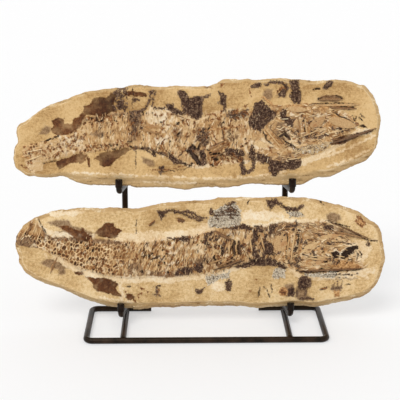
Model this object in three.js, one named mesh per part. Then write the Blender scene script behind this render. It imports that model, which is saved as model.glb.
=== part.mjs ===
// The two halves of a split fossil-fish nodule, one above the other on a bent-rod display stand.
// Millimetres, +Z up. The split faces look towards -Y and lean back against the stand's uprights.
import * as THREE from 'three';

// ---------------------------------------------------------------- driving dimensions

// Stand: round steel rod, bent cold and welded together.
const ROD = 8; // diameter of every rod
const ROD_SIDES = 12; // facets round a rod
const BEND_STEPS = 5; // straight stretches in each bend
const BASE_WIDTH = 322; // overall, left to right
const BASE_DEPTH = 112; // from the front bar's centre to the rear bar's centre
const BASE_BEND = 9; // bend radius at the rod's centre line
const REAR_GAP = 150; // between the two cut ends of the rear bar
const LEAN = THREE.MathUtils.degToRad(5); // the uprights lean back by this much
const UPRIGHT_X = 109; // each upright's distance from the middle
const UPRIGHT_BEND = 6;
const UPRIGHT_TOP = 262; // height of the uprights' cut ends

// Hooks: an arm square to the upright, turned up at the front into a lip that holds the stone.
const LOWER_ARM_HEIGHT = 12.8; // centre line of the arm where it leaves the upright
const UPPER_ARM_HEIGHT = 181.4;
const ARM_REACH = 50.3; // from the upright's centre to the lip's centre
const ARM_SPLAY = 5; // the lips stand this much further apart than the uprights, each side
const HOOK_BEND = 5.5;
const LIP_TOP = 16.6; // top of the lip's sleeve above the arm's centre line

// Sleeve: a dipped vinyl cap that covers each lip.
const SLEEVE_DIAMETER = 10.2;
const SLEEVE_LENGTH = 10.9;
const SLEEVE_SKIN = 0.6; // thickness over the rod's cut end
const SLEEVE_SIDES = 20;

// Stone: each half is flat in front, where the nodule split, and domed behind.
const FACE_DISTANCE = 45; // from the uprights' centres forward to the split face
const RIM_POINTS = 72;
const EDGE_WEAR = 3; // the worn edge between the split face and the rim
const RIM_DEPTH = 13; // the rim's thickness before the dome starts
const DOME_DEPTH = 31.1; // the dome's height behind the rim
const DOME_RINGS = 6;

const GAP = 0.3; // left between pieces that touch

// Outlines of the halves, [across, up], clockwise from the tail end, from the seat on the arms.
const UPPER_OUTLINE = [
  [-251, 49], [-247, 66], [-243, 83], [-228, 93], [-206, 108], [-182, 116],
  [-151, 127], [-118, 130], [-82, 135], [-58, 132], [0, 133], [12, 136],
  [25, 141], [50, 142], [100, 143], [154, 141], [189, 138], [208, 132],
  [220, 117], [229, 80], [226, 58], [213, 35], [186, 22], [162, 13],
  [140, 8], [120, 3], [80, 4], [60, 5], [40, 1], [10, 0],
  [-26, -3], [-59, 0], [-119, 3], [-163, 5], [-177, 10], [-201, 15],
  [-225, 16], [-244, 23], [-250, 33],
];
const LOWER_OUTLINE = [
  [-253, 85], [-252, 100], [-241, 119], [-222, 131], [-197, 139], [-143, 141],
  [-84, 141], [-52, 148], [-18, 151], [20, 155], [51, 155], [106, 156],
  [139, 153], [163, 148], [193, 139], [217, 125], [234, 107], [240, 77],
  [239, 62], [233, 40], [217, 22], [205, 18], [175, 11], [147, 6],
  [103, 6], [56, 6], [-6, 8], [-45, 6], [-91, 5], [-135, 9],
  [-161, 18], [-191, 32], [-222, 43], [-241, 55], [-250, 69],
];
const UPPER_CROWN = [9, 68]; // the thickest place, [across, up], behind the fish's shoulder
const LOWER_CROWN = [5, 80];
const UPPER_SAG = 2.6; // the rim reaches this far below the face's edge, to its seat on the arms
const LOWER_SAG = 5.4;

// ---------------------------------------------------------------- materials

const finish = (color, roughness, metalness) => new THREE.MeshStandardMaterial({ color, roughness, metalness });
const paintedSteel = () => finish(0x3a2d25, 0.42, 0.6);
const vinyl = () => finish(0x1c1614, 0.12, 0);
const limestone = () => finish(0xc4a477, 0.88, 0);

// ---------------------------------------------------------------- rods

// The centre line of a bent rod: straight between its corners, with each corner rounded off.
// It is sampled at its own stations, so every bend gets the same number of short stretches.
class RodPath extends THREE.Curve {
  constructor(corners, bendRadius) {
    super();
    this.stations = [corners[0]];
    for (let i = 1; i < corners.length - 1; i += 1) {
      this.stations.push(...RodPath.bend(corners[i - 1], corners[i], corners[i + 1], bendRadius));
    }
    this.stations.push(corners[corners.length - 1]);
  }

  static bend(before, corner, after, radius) {
    const arriving = before.clone().sub(corner).normalize();
    const leaving = after.clone().sub(corner).normalize();
    const halfAngle = arriving.angleTo(leaving) / 2;
    const centre = arriving.clone().add(leaving).normalize();
    centre.multiplyScalar(radius / Math.sin(halfAngle)).add(corner);
    const from = arriving.multiplyScalar(radius / Math.tan(halfAngle)).add(corner).sub(centre);
    const axis = from.clone().cross(corner.clone().sub(centre)).normalize();
    const turn = Math.PI - 2 * halfAngle;
    const points = [];
    for (let step = 0; step <= BEND_STEPS; step += 1) {
      points.push(from.clone().applyAxisAngle(axis, (turn * step) / BEND_STEPS).add(centre));
    }
    return points;
  }

  getPoint(t, target = new THREE.Vector3()) {
    const place = t * (this.stations.length - 1);
    const index = Math.min(Math.floor(place), this.stations.length - 2);
    return target.lerpVectors(this.stations[index], this.stations[index + 1], place - index);
  }

  getPointAt(t, target) {
    return this.getPoint(t, target);
  }

  getTangentAt(t, target) {
    return this.getTangent(t, target);
  }
}

// The rod's section: a regular polygon whose flats lie at the rod's true radius.
function rodSection() {
  const cornerRadius = ROD / 2 / Math.cos(Math.PI / ROD_SIDES);
  const corners = [];
  for (let side = 0; side < ROD_SIDES; side += 1) {
    const angle = ((side + 0.5) / ROD_SIDES) * 2 * Math.PI;
    corners.push(new THREE.Vector2(Math.cos(angle), Math.sin(angle)).multiplyScalar(cornerRadius));
  }
  return new THREE.Shape(corners);
}

function bentRod(corners, bendRadius) {
  const path = new RodPath(corners.map(([x, y, z]) => new THREE.Vector3(x, y, z)), bendRadius);
  return new THREE.ExtrudeGeometry(rodSection(), { extrudePath: path, steps: path.stations.length - 1 });
}

function addMesh(parent, name, geometry, material) {
  const mesh = new THREE.Mesh(geometry, material);
  mesh.name = name;
  parent.add(mesh);
  return mesh;
}

// ---------------------------------------------------------------- base and uprights

const rodRadius = ROD / 2;
const stand = new THREE.Group();

// The base is one rod: it runs round three sides, and its ends turn in behind and stop short.
const sideX = BASE_WIDTH / 2 - rodRadius;
addMesh(stand, 'base_frame', bentRod([
  [-REAR_GAP / 2, BASE_DEPTH, rodRadius],
  [-sideX, BASE_DEPTH, rodRadius],
  [-sideX, 0, rodRadius],
  [sideX, 0, rodRadius],
  [sideX, BASE_DEPTH, rodRadius],
  [REAR_GAP / 2, BASE_DEPTH, rodRadius],
], BASE_BEND), paintedSteel());

// Each upright starts as a foot behind the front bar and bends up in front of the rear bar.
const uprightY = BASE_DEPTH - ROD - GAP;
const uprightAxisY = (height) => uprightY + Math.tan(LEAN) * (height - rodRadius);
for (const [side, name] of [[-1, 'left_upright'], [1, 'right_upright']]) {
  addMesh(stand, name, bentRod([
    [side * UPRIGHT_X, rodRadius + GAP, rodRadius],
    [side * UPRIGHT_X, uprightY, rodRadius],
    [side * UPRIGHT_X, uprightAxisY(UPRIGHT_TOP), UPRIGHT_TOP],
  ], UPRIGHT_BEND), paintedSteel());
}

// ---------------------------------------------------------------- hooks and sleeves

// The vinyl cap's section, from the middle of its top round to the rod's cut end inside it.
function sleeveGeometry() {
  const bore = rodRadius / Math.cos(Math.PI / ROD_SIDES) + GAP;
  const profile = [
    [0, SLEEVE_LENGTH - SLEEVE_SKIN],
    [bore, SLEEVE_LENGTH - SLEEVE_SKIN],
    [bore, 0],
    [SLEEVE_DIAMETER / 2, 0],
    [SLEEVE_DIAMETER / 2, SLEEVE_LENGTH - SLEEVE_SKIN],
    [SLEEVE_DIAMETER / 2 - SLEEVE_SKIN, SLEEVE_LENGTH],
    [0, SLEEVE_LENGTH],
  ];
  const geometry = new THREE.LatheGeometry(profile.map(([r, h]) => new THREE.Vector2(r, h)), SLEEVE_SIDES);
  geometry.rotateX(Math.PI / 2);
  return geometry;
}

// A tier leans with the uprights: its Y is square to them, its Z runs up along them.
// Its origin is on the uprights' centre line, at the height of the arms.
function makeTier(armHeight) {
  const tier = new THREE.Group();
  tier.position.set(0, uprightAxisY(armHeight), armHeight);
  tier.rotation.x = -LEAN;
  stand.add(tier);
  return tier;
}

function addHook(tier, side, name) {
  const rodEnd = LIP_TOP - SLEEVE_SKIN - GAP;
  const splayAngle = ARM_SPLAY / (ARM_REACH - rodRadius);
  const armStart = rodRadius + GAP + rodRadius * splayAngle;
  addMesh(tier, `${name}_hook`, bentRod([
    [side * UPRIGHT_X, -armStart, 0],
    [side * (UPRIGHT_X + ARM_SPLAY), -ARM_REACH, 0],
    [side * (UPRIGHT_X + ARM_SPLAY), -ARM_REACH, rodEnd],
  ], HOOK_BEND), paintedSteel());
  const sleeve = addMesh(tier, `${name}_sleeve`, sleeveGeometry(), vinyl());
  sleeve.position.set(side * (UPRIGHT_X + ARM_SPLAY), -ARM_REACH, LIP_TOP - SLEEVE_LENGTH);
}

// ---------------------------------------------------------------- stones

// The rings of a half, from the middle of the split face round the rim to the crown of the dome.
// Each is the outline scaled about the crown, at a depth behind the split face.
function noduleRings(halfLength, sag) {
  const rings = [
    { scale: 0, depth: 0, drop: 0 },
    { scale: 1 - EDGE_WEAR / halfLength, depth: 0, drop: 0 },
    { scale: 1, depth: EDGE_WEAR, drop: 0 },
    { scale: 1, depth: RIM_DEPTH, drop: sag },
  ];
  for (let ring = 1; ring <= DOME_RINGS; ring += 1) {
    const angle = (ring / DOME_RINGS) * (Math.PI / 2);
    const scale = ring === DOME_RINGS ? 0 : Math.cos(angle);
    rings.push({ scale, depth: RIM_DEPTH + DOME_DEPTH * Math.sin(angle), drop: sag * scale });
  }
  return rings;
}

// A lathe's rings and spokes give a closed body; its vertices are then laid onto the outline.
function noduleGeometry(outline, crown, sag) {
  const corners = outline.map(([across, up]) => new THREE.Vector3(across, 0, up));
  const rim = new THREE.CatmullRomCurve3(corners, true).getSpacedPoints(RIM_POINTS);
  const box = new THREE.Box3().setFromPoints(rim);
  const middle = new THREE.Vector3(crown[0], 0, crown[1]);
  const rings = noduleRings(box.getSize(new THREE.Vector3()).x / 2, sag);
  const profile = rings.map(({ scale, depth }) => new THREE.Vector2(scale, depth));
  const geometry = new THREE.LatheGeometry(profile, RIM_POINTS);
  const positions = geometry.getAttribute('position');
  for (let vertex = 0; vertex < positions.count; vertex += 1) {
    const ring = rings[vertex % rings.length];
    const spoke = Math.floor(vertex / rings.length) % RIM_POINTS;
    const point = middle.clone().lerp(rim[spoke], ring.scale);
    positions.setXYZ(vertex, point.x, ring.depth, point.z - ring.drop);
  }
  geometry.computeVertexNormals();
  return geometry;
}

for (const [name, armHeight, outline, crown, sag] of [
  ['upper', UPPER_ARM_HEIGHT, UPPER_OUTLINE, UPPER_CROWN, UPPER_SAG],
  ['lower', LOWER_ARM_HEIGHT, LOWER_OUTLINE, LOWER_CROWN, LOWER_SAG],
]) {
  const tier = makeTier(armHeight);
  addHook(tier, -1, `${name}_left`);
  addHook(tier, 1, `${name}_right`);
  const stone = addMesh(tier, `${name}_slab`, noduleGeometry(outline, crown, sag), limestone());
  stone.position.set(0, -FACE_DISTANCE, rodRadius + GAP);
}

// ---------------------------------------------------------------- origin

// The part's origin is the middle of the underside of its box.
const overall = new THREE.Box3().setFromObject(stand);
const centre = overall.getCenter(new THREE.Vector3());
stand.position.set(-centre.x, -centre.y, -overall.min.z);

const group = new THREE.Group();
group.add(stand);

export default group;
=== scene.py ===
import math

import bpy
import numpy as np
from mathutils import Matrix, Vector
from mathutils.geometry import delaunay_2d_cdt


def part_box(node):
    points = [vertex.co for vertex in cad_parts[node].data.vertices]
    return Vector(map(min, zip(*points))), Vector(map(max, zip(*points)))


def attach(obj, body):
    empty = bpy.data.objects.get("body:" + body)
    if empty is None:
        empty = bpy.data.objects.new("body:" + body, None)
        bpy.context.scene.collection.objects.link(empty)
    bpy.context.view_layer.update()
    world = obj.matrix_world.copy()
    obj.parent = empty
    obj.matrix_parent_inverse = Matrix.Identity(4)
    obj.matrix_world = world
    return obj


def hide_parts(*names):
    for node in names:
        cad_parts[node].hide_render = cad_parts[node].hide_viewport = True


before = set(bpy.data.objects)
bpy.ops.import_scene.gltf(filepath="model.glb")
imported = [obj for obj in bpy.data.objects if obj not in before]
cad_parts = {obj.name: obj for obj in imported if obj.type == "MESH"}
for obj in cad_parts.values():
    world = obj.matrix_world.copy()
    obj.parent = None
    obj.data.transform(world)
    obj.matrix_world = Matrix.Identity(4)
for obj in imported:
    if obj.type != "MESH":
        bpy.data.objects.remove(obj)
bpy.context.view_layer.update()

# ---------------------------------------------------------------- room
# A white table in a bright studio: one very soft light from above, left of the viewer, and pale walls.
# The viewer stands a little left of square and looks down at the stand.

VIEW_TURN = math.radians(-0.92)
VIEW_DROP = math.radians(16.14)
VIEW_DISTANCE = 1.441
VIEW_AIM = Vector((-0.0013, -0.0031, 0.1762))
LENS_MM = 99.0


def place_object(name, data):
    """Puts a mesh, a lamp or the camera into the scene."""
    made = bpy.data.objects.new(name, data)
    bpy.context.scene.collection.objects.link(made)
    return made


camera_data = bpy.data.cameras.new("camera")
camera_data.sensor_width = 36.0
camera_data.lens = LENS_MM
camera = place_object("camera", camera_data)
towards_viewer = Vector((
    math.sin(VIEW_TURN) * math.cos(VIEW_DROP),
    -math.cos(VIEW_TURN) * math.cos(VIEW_DROP),
    math.sin(VIEW_DROP),
))
camera.location = VIEW_AIM + towards_viewer * VIEW_DISTANCE
camera.rotation_mode = "QUATERNION"
camera.rotation_quaternion = (-towards_viewer).to_track_quat("-Z", "Y")
bpy.context.scene.camera = camera
bpy.context.scene.view_settings.view_transform = "Standard"


def add_node(tree, kind, inputs=(), **settings):
    """Adds a node, sets its properties, and fills or joins its inputs by name or number."""
    made = tree.nodes.new(kind)
    for name, value in settings.items():
        setattr(made, name, value)
    for key, value in dict(inputs).items():
        if isinstance(value, bpy.types.NodeSocket):
            tree.links.new(value, made.inputs[key])
        else:
            made.inputs[key].default_value = value
    return made


def spread(tree, value, low, high, to_low=0.0, to_high=1.0, kind="SMOOTHSTEP"):
    """A value remapped from one range to another, with soft ends unless the kind is LINEAR."""
    return add_node(tree, "ShaderNodeMapRange", {
        "Value": value, "From Min": low, "From Max": high, "To Min": to_low, "To Max": to_high,
    }, interpolation_type=kind).outputs[0]


def new_finish(name, even_values):
    """A material, its tree and its shader, with what is even all over set on the shader's own sockets."""
    material = bpy.data.materials.new(name)
    material.use_nodes = True
    tree = material.node_tree
    shader = tree.nodes["Principled BSDF"]
    for socket, value in even_values.items():
        shader.inputs[socket].default_value = value
    return material, tree, shader


FRONT_WALL, BACK_WALL = 0.44, 0.96
world = bpy.data.worlds.new("studio")
bpy.context.scene.world = world
world.use_nodes = True
sky = world.node_tree
sky.nodes.clear()
direction = add_node(sky, "ShaderNodeTexCoord").outputs["Generated"]
towards_back = add_node(sky, "ShaderNodeSeparateXYZ", {0: direction}).outputs["Y"]
wall_light = spread(sky, towards_back, -1.0, 0.6, FRONT_WALL, BACK_WALL, "LINEAR")
seen = add_node(sky, "ShaderNodeLightPath").outputs["Is Camera Ray"]
wall_light = add_node(sky, "ShaderNodeMix", {0: seen, 2: wall_light, 3: BACK_WALL}).outputs[0]
walls = add_node(sky, "ShaderNodeBackground", {"Color": (1.0, 0.995, 0.985, 1.0), "Strength": wall_light})
add_node(sky, "ShaderNodeOutputWorld", {"Surface": walls.outputs[0]})

sun_data = bpy.data.lights.new("ceiling_light", "SUN")
sun_data.energy = 1.55
sun_data.angle = math.radians(30)
sun_data.color = (1.0, 0.985, 0.96)
sun = place_object("ceiling_light", sun_data)
sun.rotation_mode = "QUATERNION"
sun.rotation_quaternion = Vector((0.32, 0.62, -0.72)).to_track_quat("-Z", "Y")

TABLE_SIZE = 24.0
half = TABLE_SIZE / 2
table_mesh = bpy.data.meshes.new("table_top")
table_corners = [(-half, -half, 0), (half, -half, 0), (half, half, 0), (-half, half, 0)]
table_mesh.from_pydata(table_corners, [], [(0, 1, 2, 3)])
white_table = new_finish("white_table", {
    "Base Color": (0.5, 0.5, 0.5, 1.0), "Roughness": 0.75, "Specular IOR Level": 0.05,
    "Emission Color": (0.97, 0.98, 1.0, 1.0), "Emission Strength": 0.44,
})[0]
table_mesh.materials.append(white_table)
table_top = place_object("table_top", table_mesh)

# ---------------------------------------------------------------- stand: bent rods
# Round steel bar, 8 mm thick, bent cold and welded, with a satin dark bronze finish.
# One rod makes the base; each upright is a rod bent from a foot; each hook is a short rod.

MM = 0.001
base_low, base_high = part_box("base_frame")
rod_radius = (base_high.z - base_low.z) / 2
middle_x = (base_low.x + base_high.x) / 2
front_y = base_low.y + rod_radius
rear_y = base_high.y - rod_radius
rod_z = base_low.z + rod_radius
GAP = 0.3 * MM
LEAN = math.radians(5)
UPRIGHT_X = 109 * MM
REAR_GAP = 150 * MM
ARM_REACH = 50.3 * MM
ARM_SPLAY = 5 * MM
LIP_TOP = 16.6 * MM
BASE_BEND, UPRIGHT_BEND, HOOK_BEND = 9 * MM, 6 * MM, 5.5 * MM
CAP_TOP_WALL = 1 * MM
ARM_HEIGHTS = {"lower": 12.8 * MM, "upper": 181.4 * MM}

upright_y = rear_y - 2 * rod_radius - GAP
leaning_up = Vector((0, math.sin(LEAN), math.cos(LEAN)))
leaning_back = Vector((0, math.cos(LEAN), -math.sin(LEAN)))


def tier_point(tier, across, back, up):
    """A place in a tier: across from the middle, behind the uprights' centre line, up from the arms."""
    height = ARM_HEIGHTS[tier]
    foot = Vector((middle_x, upright_y + math.tan(LEAN) * (height - rod_radius), height))
    return foot + Vector((across, 0, 0)) + back * leaning_back + up * leaning_up


def new_tree(name, *sockets):
    """An empty Geometry Nodes tree with a geometry in and out and the named number inputs."""
    tree = bpy.data.node_groups.new(name, "GeometryNodeTree")
    tree.interface.new_socket("Geometry", in_out="INPUT", socket_type="NodeSocketGeometry")
    tree.interface.new_socket("Geometry", in_out="OUTPUT", socket_type="NodeSocketGeometry")
    for label, kind in sockets:
        tree.interface.new_socket(label, in_out="INPUT", socket_type=kind)
    return tree, tree.nodes.new("NodeGroupInput").outputs


def end_tree(tree, geometry, material):
    """Ends a tree: instances made real, the material set, and the result sent out."""
    real = add_node(tree, "GeometryNodeRealizeInstances", {0: geometry})
    painted = add_node(tree, "GeometryNodeSetMaterial", {0: real.outputs[0], "Material": material})
    add_node(tree, "NodeGroupOutput", {0: painted.outputs[0]})


def grow(name, mesh, tree, **values):
    """Runs a tree on a mesh with its inputs set, and keeps the result as a plain mesh object."""
    piece = place_object(name, mesh)
    modifier = piece.modifiers.new("shape", "NODES")
    modifier.node_group = tree
    for item in tree.interface.items_tree:
        label = item.name.replace(" ", "_").lower()
        if item.in_out == "INPUT" and label in values:
            modifier[item.identifier] = values[label]
    depsgraph = bpy.context.evaluated_depsgraph_get()
    made = bpy.data.meshes.new_from_object(piece.evaluated_get(depsgraph))
    piece.modifiers.remove(modifier)
    made.name = name
    piece.data = made
    return piece


def noise(tree, place, scale, detail, roughness=0.5):
    """Cloudy noise, from 0 to 1, at each place on a piece."""
    return add_node(tree, "ShaderNodeTexNoise", {
        "Vector": place, "Scale": scale, "Detail": detail, "Roughness": roughness,
    }).outputs["Fac"]


def srgb(red, green, blue):
    """A paint-chart colour, 0 to 255, as the linear colour that shaders take."""
    linear = []
    for channel in (red / 255, green / 255, blue / 255):
        linear.append(channel / 12.92 if channel <= 0.04045 else ((channel + 0.055) / 1.055) ** 2.4)
    return (*linear, 1.0)


def ramp(tree, value, stops):
    """Turns a value into a colour, through stops that each hold a position and a paint-chart colour."""
    made = add_node(tree, "ShaderNodeValToRGB", {0: value})
    keys = made.color_ramp.elements
    while len(keys) < len(stops):
        keys.new(0.5)
    for key, (position, colour) in zip(keys, stops):
        key.position = position
        key.color = srgb(*colour)
    return made.outputs[0]


def roughen(tree, shader, height, strength, distance):
    """Raises the surface, in its shading only, by a fine height."""
    bump = add_node(tree, "ShaderNodeBump", {"Height": height, "Strength": strength, "Distance": distance})
    tree.links.new(bump.outputs[0], shader.inputs["Normal"])


def steel_finish():
    """Satin bronze-black lacquer over steel, a little uneven, rubbed thinner here and there."""
    material, tree, shader = new_finish("bronzed_steel", {
        "Specular IOR Level": 0.22, "Specular Tint": (1.0, 0.8, 0.62, 1.0),
    })
    place = add_node(tree, "ShaderNodeTexCoord").outputs["Object"]
    fleck = noise(tree, place, 1400.0, 3.0)
    tone = ramp(tree, noise(tree, place, 60.0, 6.0), [(0.35, (9, 7, 6)), (0.7, (52, 38, 29))])
    tree.links.new(tone, shader.inputs["Base Color"])
    tree.links.new(spread(tree, fleck, 0.3, 0.7, 0.26, 0.42, "LINEAR"), shader.inputs["Roughness"])
    roughen(tree, shader, fleck, 0.12, 0.2 * MM)
    return material


bronzed_steel = steel_finish()

rod_tree, rod_in = new_tree(
    "bent_rod", ("Rod Radius", "NodeSocketFloat"), ("Bend Radius", "NodeSocketFloat"),
    ("Bend Steps", "NodeSocketInt"), ("Sides", "NodeSocketInt"),
)
rod_line = add_node(rod_tree, "GeometryNodeMeshToCurve", {0: rod_in["Geometry"]})
rod_bent = add_node(rod_tree, "GeometryNodeFilletCurve", {
    "Curve": rod_line.outputs[0], "Count": rod_in["Bend Steps"],
    "Radius": rod_in["Bend Radius"], "Limit Radius": True,
}, mode="POLY")
rod_round = add_node(rod_tree, "GeometryNodeCurvePrimitiveCircle", {
    "Resolution": rod_in["Sides"], "Radius": rod_in["Rod Radius"],
})
rod_solid = add_node(rod_tree, "GeometryNodeCurveToMesh", {
    "Curve": rod_bent.outputs[0], "Profile Curve": rod_round.outputs[0], "Fill Caps": True,
})
end_tree(rod_tree, rod_solid.outputs[0], bronzed_steel)


def bend_rod(node_name, corners, bend):
    """Makes one rod from the corners of its centre line, in place of its CAD node."""
    line = bpy.data.meshes.new(node_name)
    line.from_pydata([tuple(corner) for corner in corners], [(i, i + 1) for i in range(len(corners) - 1)], [])
    rod = grow(
        f"{node_name}_rod", line, rod_tree,
        rod_radius=rod_radius, bend_radius=bend, bend_steps=14, sides=40,
    )
    rod.data.polygons.foreach_set("use_smooth", [True] * len(rod.data.polygons))
    rod.data.set_sharp_from_angle(angle=math.radians(50))
    nip = rod.modifiers.new("cut_ends", "BEVEL")
    nip.width = 0.35 * MM
    nip.segments = 2
    nip.limit_method = "ANGLE"
    nip.angle_limit = math.radians(60)
    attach(rod, "root")
    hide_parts(node_name)


side_x = (base_high.x - base_low.x) / 2 - rod_radius
bend_rod("base_frame", [
    (middle_x - REAR_GAP / 2, rear_y, rod_z),
    (middle_x - side_x, rear_y, rod_z),
    (middle_x - side_x, front_y, rod_z),
    (middle_x + side_x, front_y, rod_z),
    (middle_x + side_x, rear_y, rod_z),
    (middle_x + REAR_GAP / 2, rear_y, rod_z),
], BASE_BEND)

for side, upright in ((-1, "left_upright"), (1, "right_upright")):
    upright_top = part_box(upright)[1].z - rod_radius * math.sin(LEAN)
    x = middle_x + side * UPRIGHT_X
    bend_rod(upright, [
        (x, front_y + rod_radius + GAP, rod_z),
        (x, upright_y, rod_z),
        (x, upright_y + math.tan(LEAN) * (upright_top - rod_z), upright_top),
    ], UPRIGHT_BEND)

HOOKS = (
    ("lower", -1, "lower_left"), ("lower", 1, "lower_right"),
    ("upper", -1, "upper_left"), ("upper", 1, "upper_right"),
)
for tier, side, hook in HOOKS:
    bend_rod(f"{hook}_hook", [
        tier_point(tier, side * UPRIGHT_X, -rod_radius - GAP, 0),
        tier_point(tier, side * (UPRIGHT_X + ARM_SPLAY), -ARM_REACH, 0),
        tier_point(tier, side * (UPRIGHT_X + ARM_SPLAY), -ARM_REACH, LIP_TOP - CAP_TOP_WALL),
    ], HOOK_BEND)

# ---------------------------------------------------------------- stand: weld beads
# Where an arm leaves its upright and where a foot meets the base, the rods are joined by a fillet weld.
# Each is a lumpy ring of weld metal round the joint, lacquered with the rods.

BEAD = 1.5 * MM
BEAD_LUMPS = 9
BEAD_SEAT = 0.93 * rod_radius
BEAD_SHIFT = 0.4 * MM
BEAD_FLOOR = base_low.z + 0.1 * MM
FULL_TURN = 6.28


def solid_piece(name, points, faces, material):
    """A smooth closed piece from its points and faces, in its finish."""
    mesh = bpy.data.meshes.new(name)
    mesh.from_pydata(points, [], faces)
    mesh.polygons.foreach_set("use_smooth", [True] * len(mesh.polygons))
    mesh.materials.append(material)
    return place_object(name, mesh)


def weld_ring(centre, axis, seed):
    """A closed ring of weld metal round an axis: its thickness swells with each drop of the weld."""
    rng = np.random.default_rng(seed)
    axis = Vector(axis).normalized()
    side = axis.orthogonal().normalized()
    other = axis.cross(side)
    around, through = 48, 10
    phase = rng.uniform(0, FULL_TURN)
    points, faces = [], []
    for i in range(around):
        turn = 2 * math.pi * i / around
        out = side * math.cos(turn) + other * math.sin(turn)
        swell = BEAD * (0.85 + 0.2 * math.sin(BEAD_LUMPS * turn + phase) + rng.uniform(-0.04, 0.04))
        for j in range(through):
            bend = 2 * math.pi * j / through
            away = out * (BEAD_SEAT + swell * 0.55 * math.cos(bend))
            points.append(centre + away + axis * (swell * math.sin(bend)))
            k = (i + 1) % around
            m = (j + 1) % through
            faces.append((i * through + j, k * through + j, k * through + m, i * through + m))
    return points, faces


weld_spots = []
for tier, side, hook in HOOKS:
    arm_end = tier_point(tier, side * (UPRIGHT_X + ARM_SPLAY), -ARM_REACH, 0)
    arm_axis = arm_end - tier_point(tier, side * UPRIGHT_X, 0, 0)
    weld_spots.append((tier_point(tier, side * UPRIGHT_X, -rod_radius - BEAD_SHIFT, 0), arm_axis))
for side in (-1, 1):
    foot_end = Vector((middle_x + side * UPRIGHT_X, front_y + rod_radius + BEAD_SHIFT, rod_z))
    weld_spots.append((foot_end, (0, 1, 0)))
weld_points, weld_faces = [], []
for seed, (centre, axis) in enumerate(weld_spots):
    points, faces = weld_ring(centre, axis, seed)
    start = len(weld_points)
    weld_points.extend((p.x, p.y, max(p.z, BEAD_FLOOR)) for p in points)
    weld_faces.extend(tuple(i + start for i in face) for face in faces)
weld_beads = solid_piece("weld_beads", weld_points, weld_faces, bronzed_steel)
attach(weld_beads, "root")

# ---------------------------------------------------------------- stand: lip sleeves
# A dipped cap of glossy dark vinyl on each hook's lip keeps the steel off the stone.
# It is snug, with a soft rolled rim at its mouth and a slightly domed top.


def vinyl_finish():
    """Dark soft vinyl, almost black, wet-looking, with a faint smoky depth."""
    material, tree, shader = new_finish("dark_vinyl", {
        "Roughness": 0.08, "Specular IOR Level": 0.14, "Specular Tint": (1.0, 0.86, 0.72, 1.0),
    })
    smoke = noise(tree, add_node(tree, "ShaderNodeTexCoord").outputs["Object"], 220.0, 4.0)
    tone = ramp(tree, smoke, [(0.3, (5, 4, 3)), (0.75, (36, 23, 17))])
    tree.links.new(tone, shader.inputs["Base Color"])
    roughen(tree, shader, smoke, 0.2, 0.3 * MM)
    return material


dark_vinyl = vinyl_finish()
SLEEVE_RADIUS = 5.05 * MM
SLEEVE_LENGTH = 10.9 * MM
# Across and up, from the inside of the mouth over the rolled rim to the middle of the top.
SLEEVE_SECTION = [
    (0.86, 0.6), (0.86, 0.16), (0.9, 0.04), (0.97, 0.0), (1.0, 0.05), (0.985, 0.14),
    (0.965, 0.3), (0.965, 0.86), (0.93, 0.94), (0.84, 0.985), (0.6, 1.0), (0.0, 1.0),
]
for tier, side, hook in HOOKS:
    mouth = tier_point(tier, side * (UPRIGHT_X + ARM_SPLAY), -ARM_REACH, LIP_TOP - SLEEVE_LENGTH)
    around, rows = 40, len(SLEEVE_SECTION) - 1
    points, faces = [], []
    for i in range(around):
        turn = 2 * math.pi * i / around
        out = Vector((math.cos(turn), 0, 0)) + leaning_back * math.sin(turn)
        for reach, rise in SLEEVE_SECTION[:-1]:
            points.append(mouth + out * (reach * SLEEVE_RADIUS) + leaning_up * (rise * SLEEVE_LENGTH))
    points.append(mouth + leaning_up * SLEEVE_LENGTH)
    points.append(mouth + leaning_up * (SLEEVE_SECTION[0][1] * SLEEVE_LENGTH))
    for i in range(around):
        k = (i + 1) % around
        for j in range(rows - 1):
            faces.append((i * rows + j, k * rows + j, k * rows + j + 1, i * rows + j + 1))
        faces.append((i * rows + rows - 1, k * rows + rows - 1, len(points) - 2))
        faces.append((k * rows, i * rows, len(points) - 1))
    sleeve = solid_piece(f"{hook}_lip_sleeve", points, faces, dark_vinyl)
    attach(sleeve, "root")
    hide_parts(f"{hook}_sleeve")

# ---------------------------------------------------------------- slabs: split stone
# Each slab is one half of a limestone nodule, split along the fish inside it. It has an uneven split
# face, a chipped and bevelled rim and a rounded, weathered back. Everything is laid out in millimetres
# on the face: across from the middle, up from the arms, and depth behind the face.

# The face stands before the uprights' centre line, and the slab's foot above the arms' centre line.
FACE_DISTANCE = 45.0
ARM_CLEARANCE = 4.3
# The worn top edge falls back; the sides run straight back to the rim's depth, and the back bulges past it.
EDGE_WEAR = 3.0
RIM_DEPTH = 13.0
DOME_DEPTH = 31.1
# Spacing of the points along the rim, over the fish, over the stone and over the back.
RIM_STEP = 1.25
BODY_STEP = 0.84
STONE_STEP = 1.3
BACK_STEP = 2.7
ROW_RISE = 0.866
# Where the rings of the straight sides lie between face and back, and how much smaller the back's rings are.
WALL_RINGS = (0.2, 0.4, 0.6, 0.8, 1.0)
BACK_RINGS = (0.997, 0.987, 0.966, 0.935)
# A mark is felt this far round its edge. Loose bits keep off the rim, and off the lips, across and up.
REACH = 3.0
SPECK_REACH = 8
TIP_WIDTH = 0.45
BITS_INSET = 7
LIP_CLEARANCE = (14, 22)
# Chance numbers that the uneven ground and the cells are drawn from.
LATTICE, LATTICE_SHIFT = 128, (31.7, 17.3)
CELLS = 256
LAYERS = ("stain", "haze", "crust", "grit", "honey", "rust", "cream", "ink")


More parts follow.
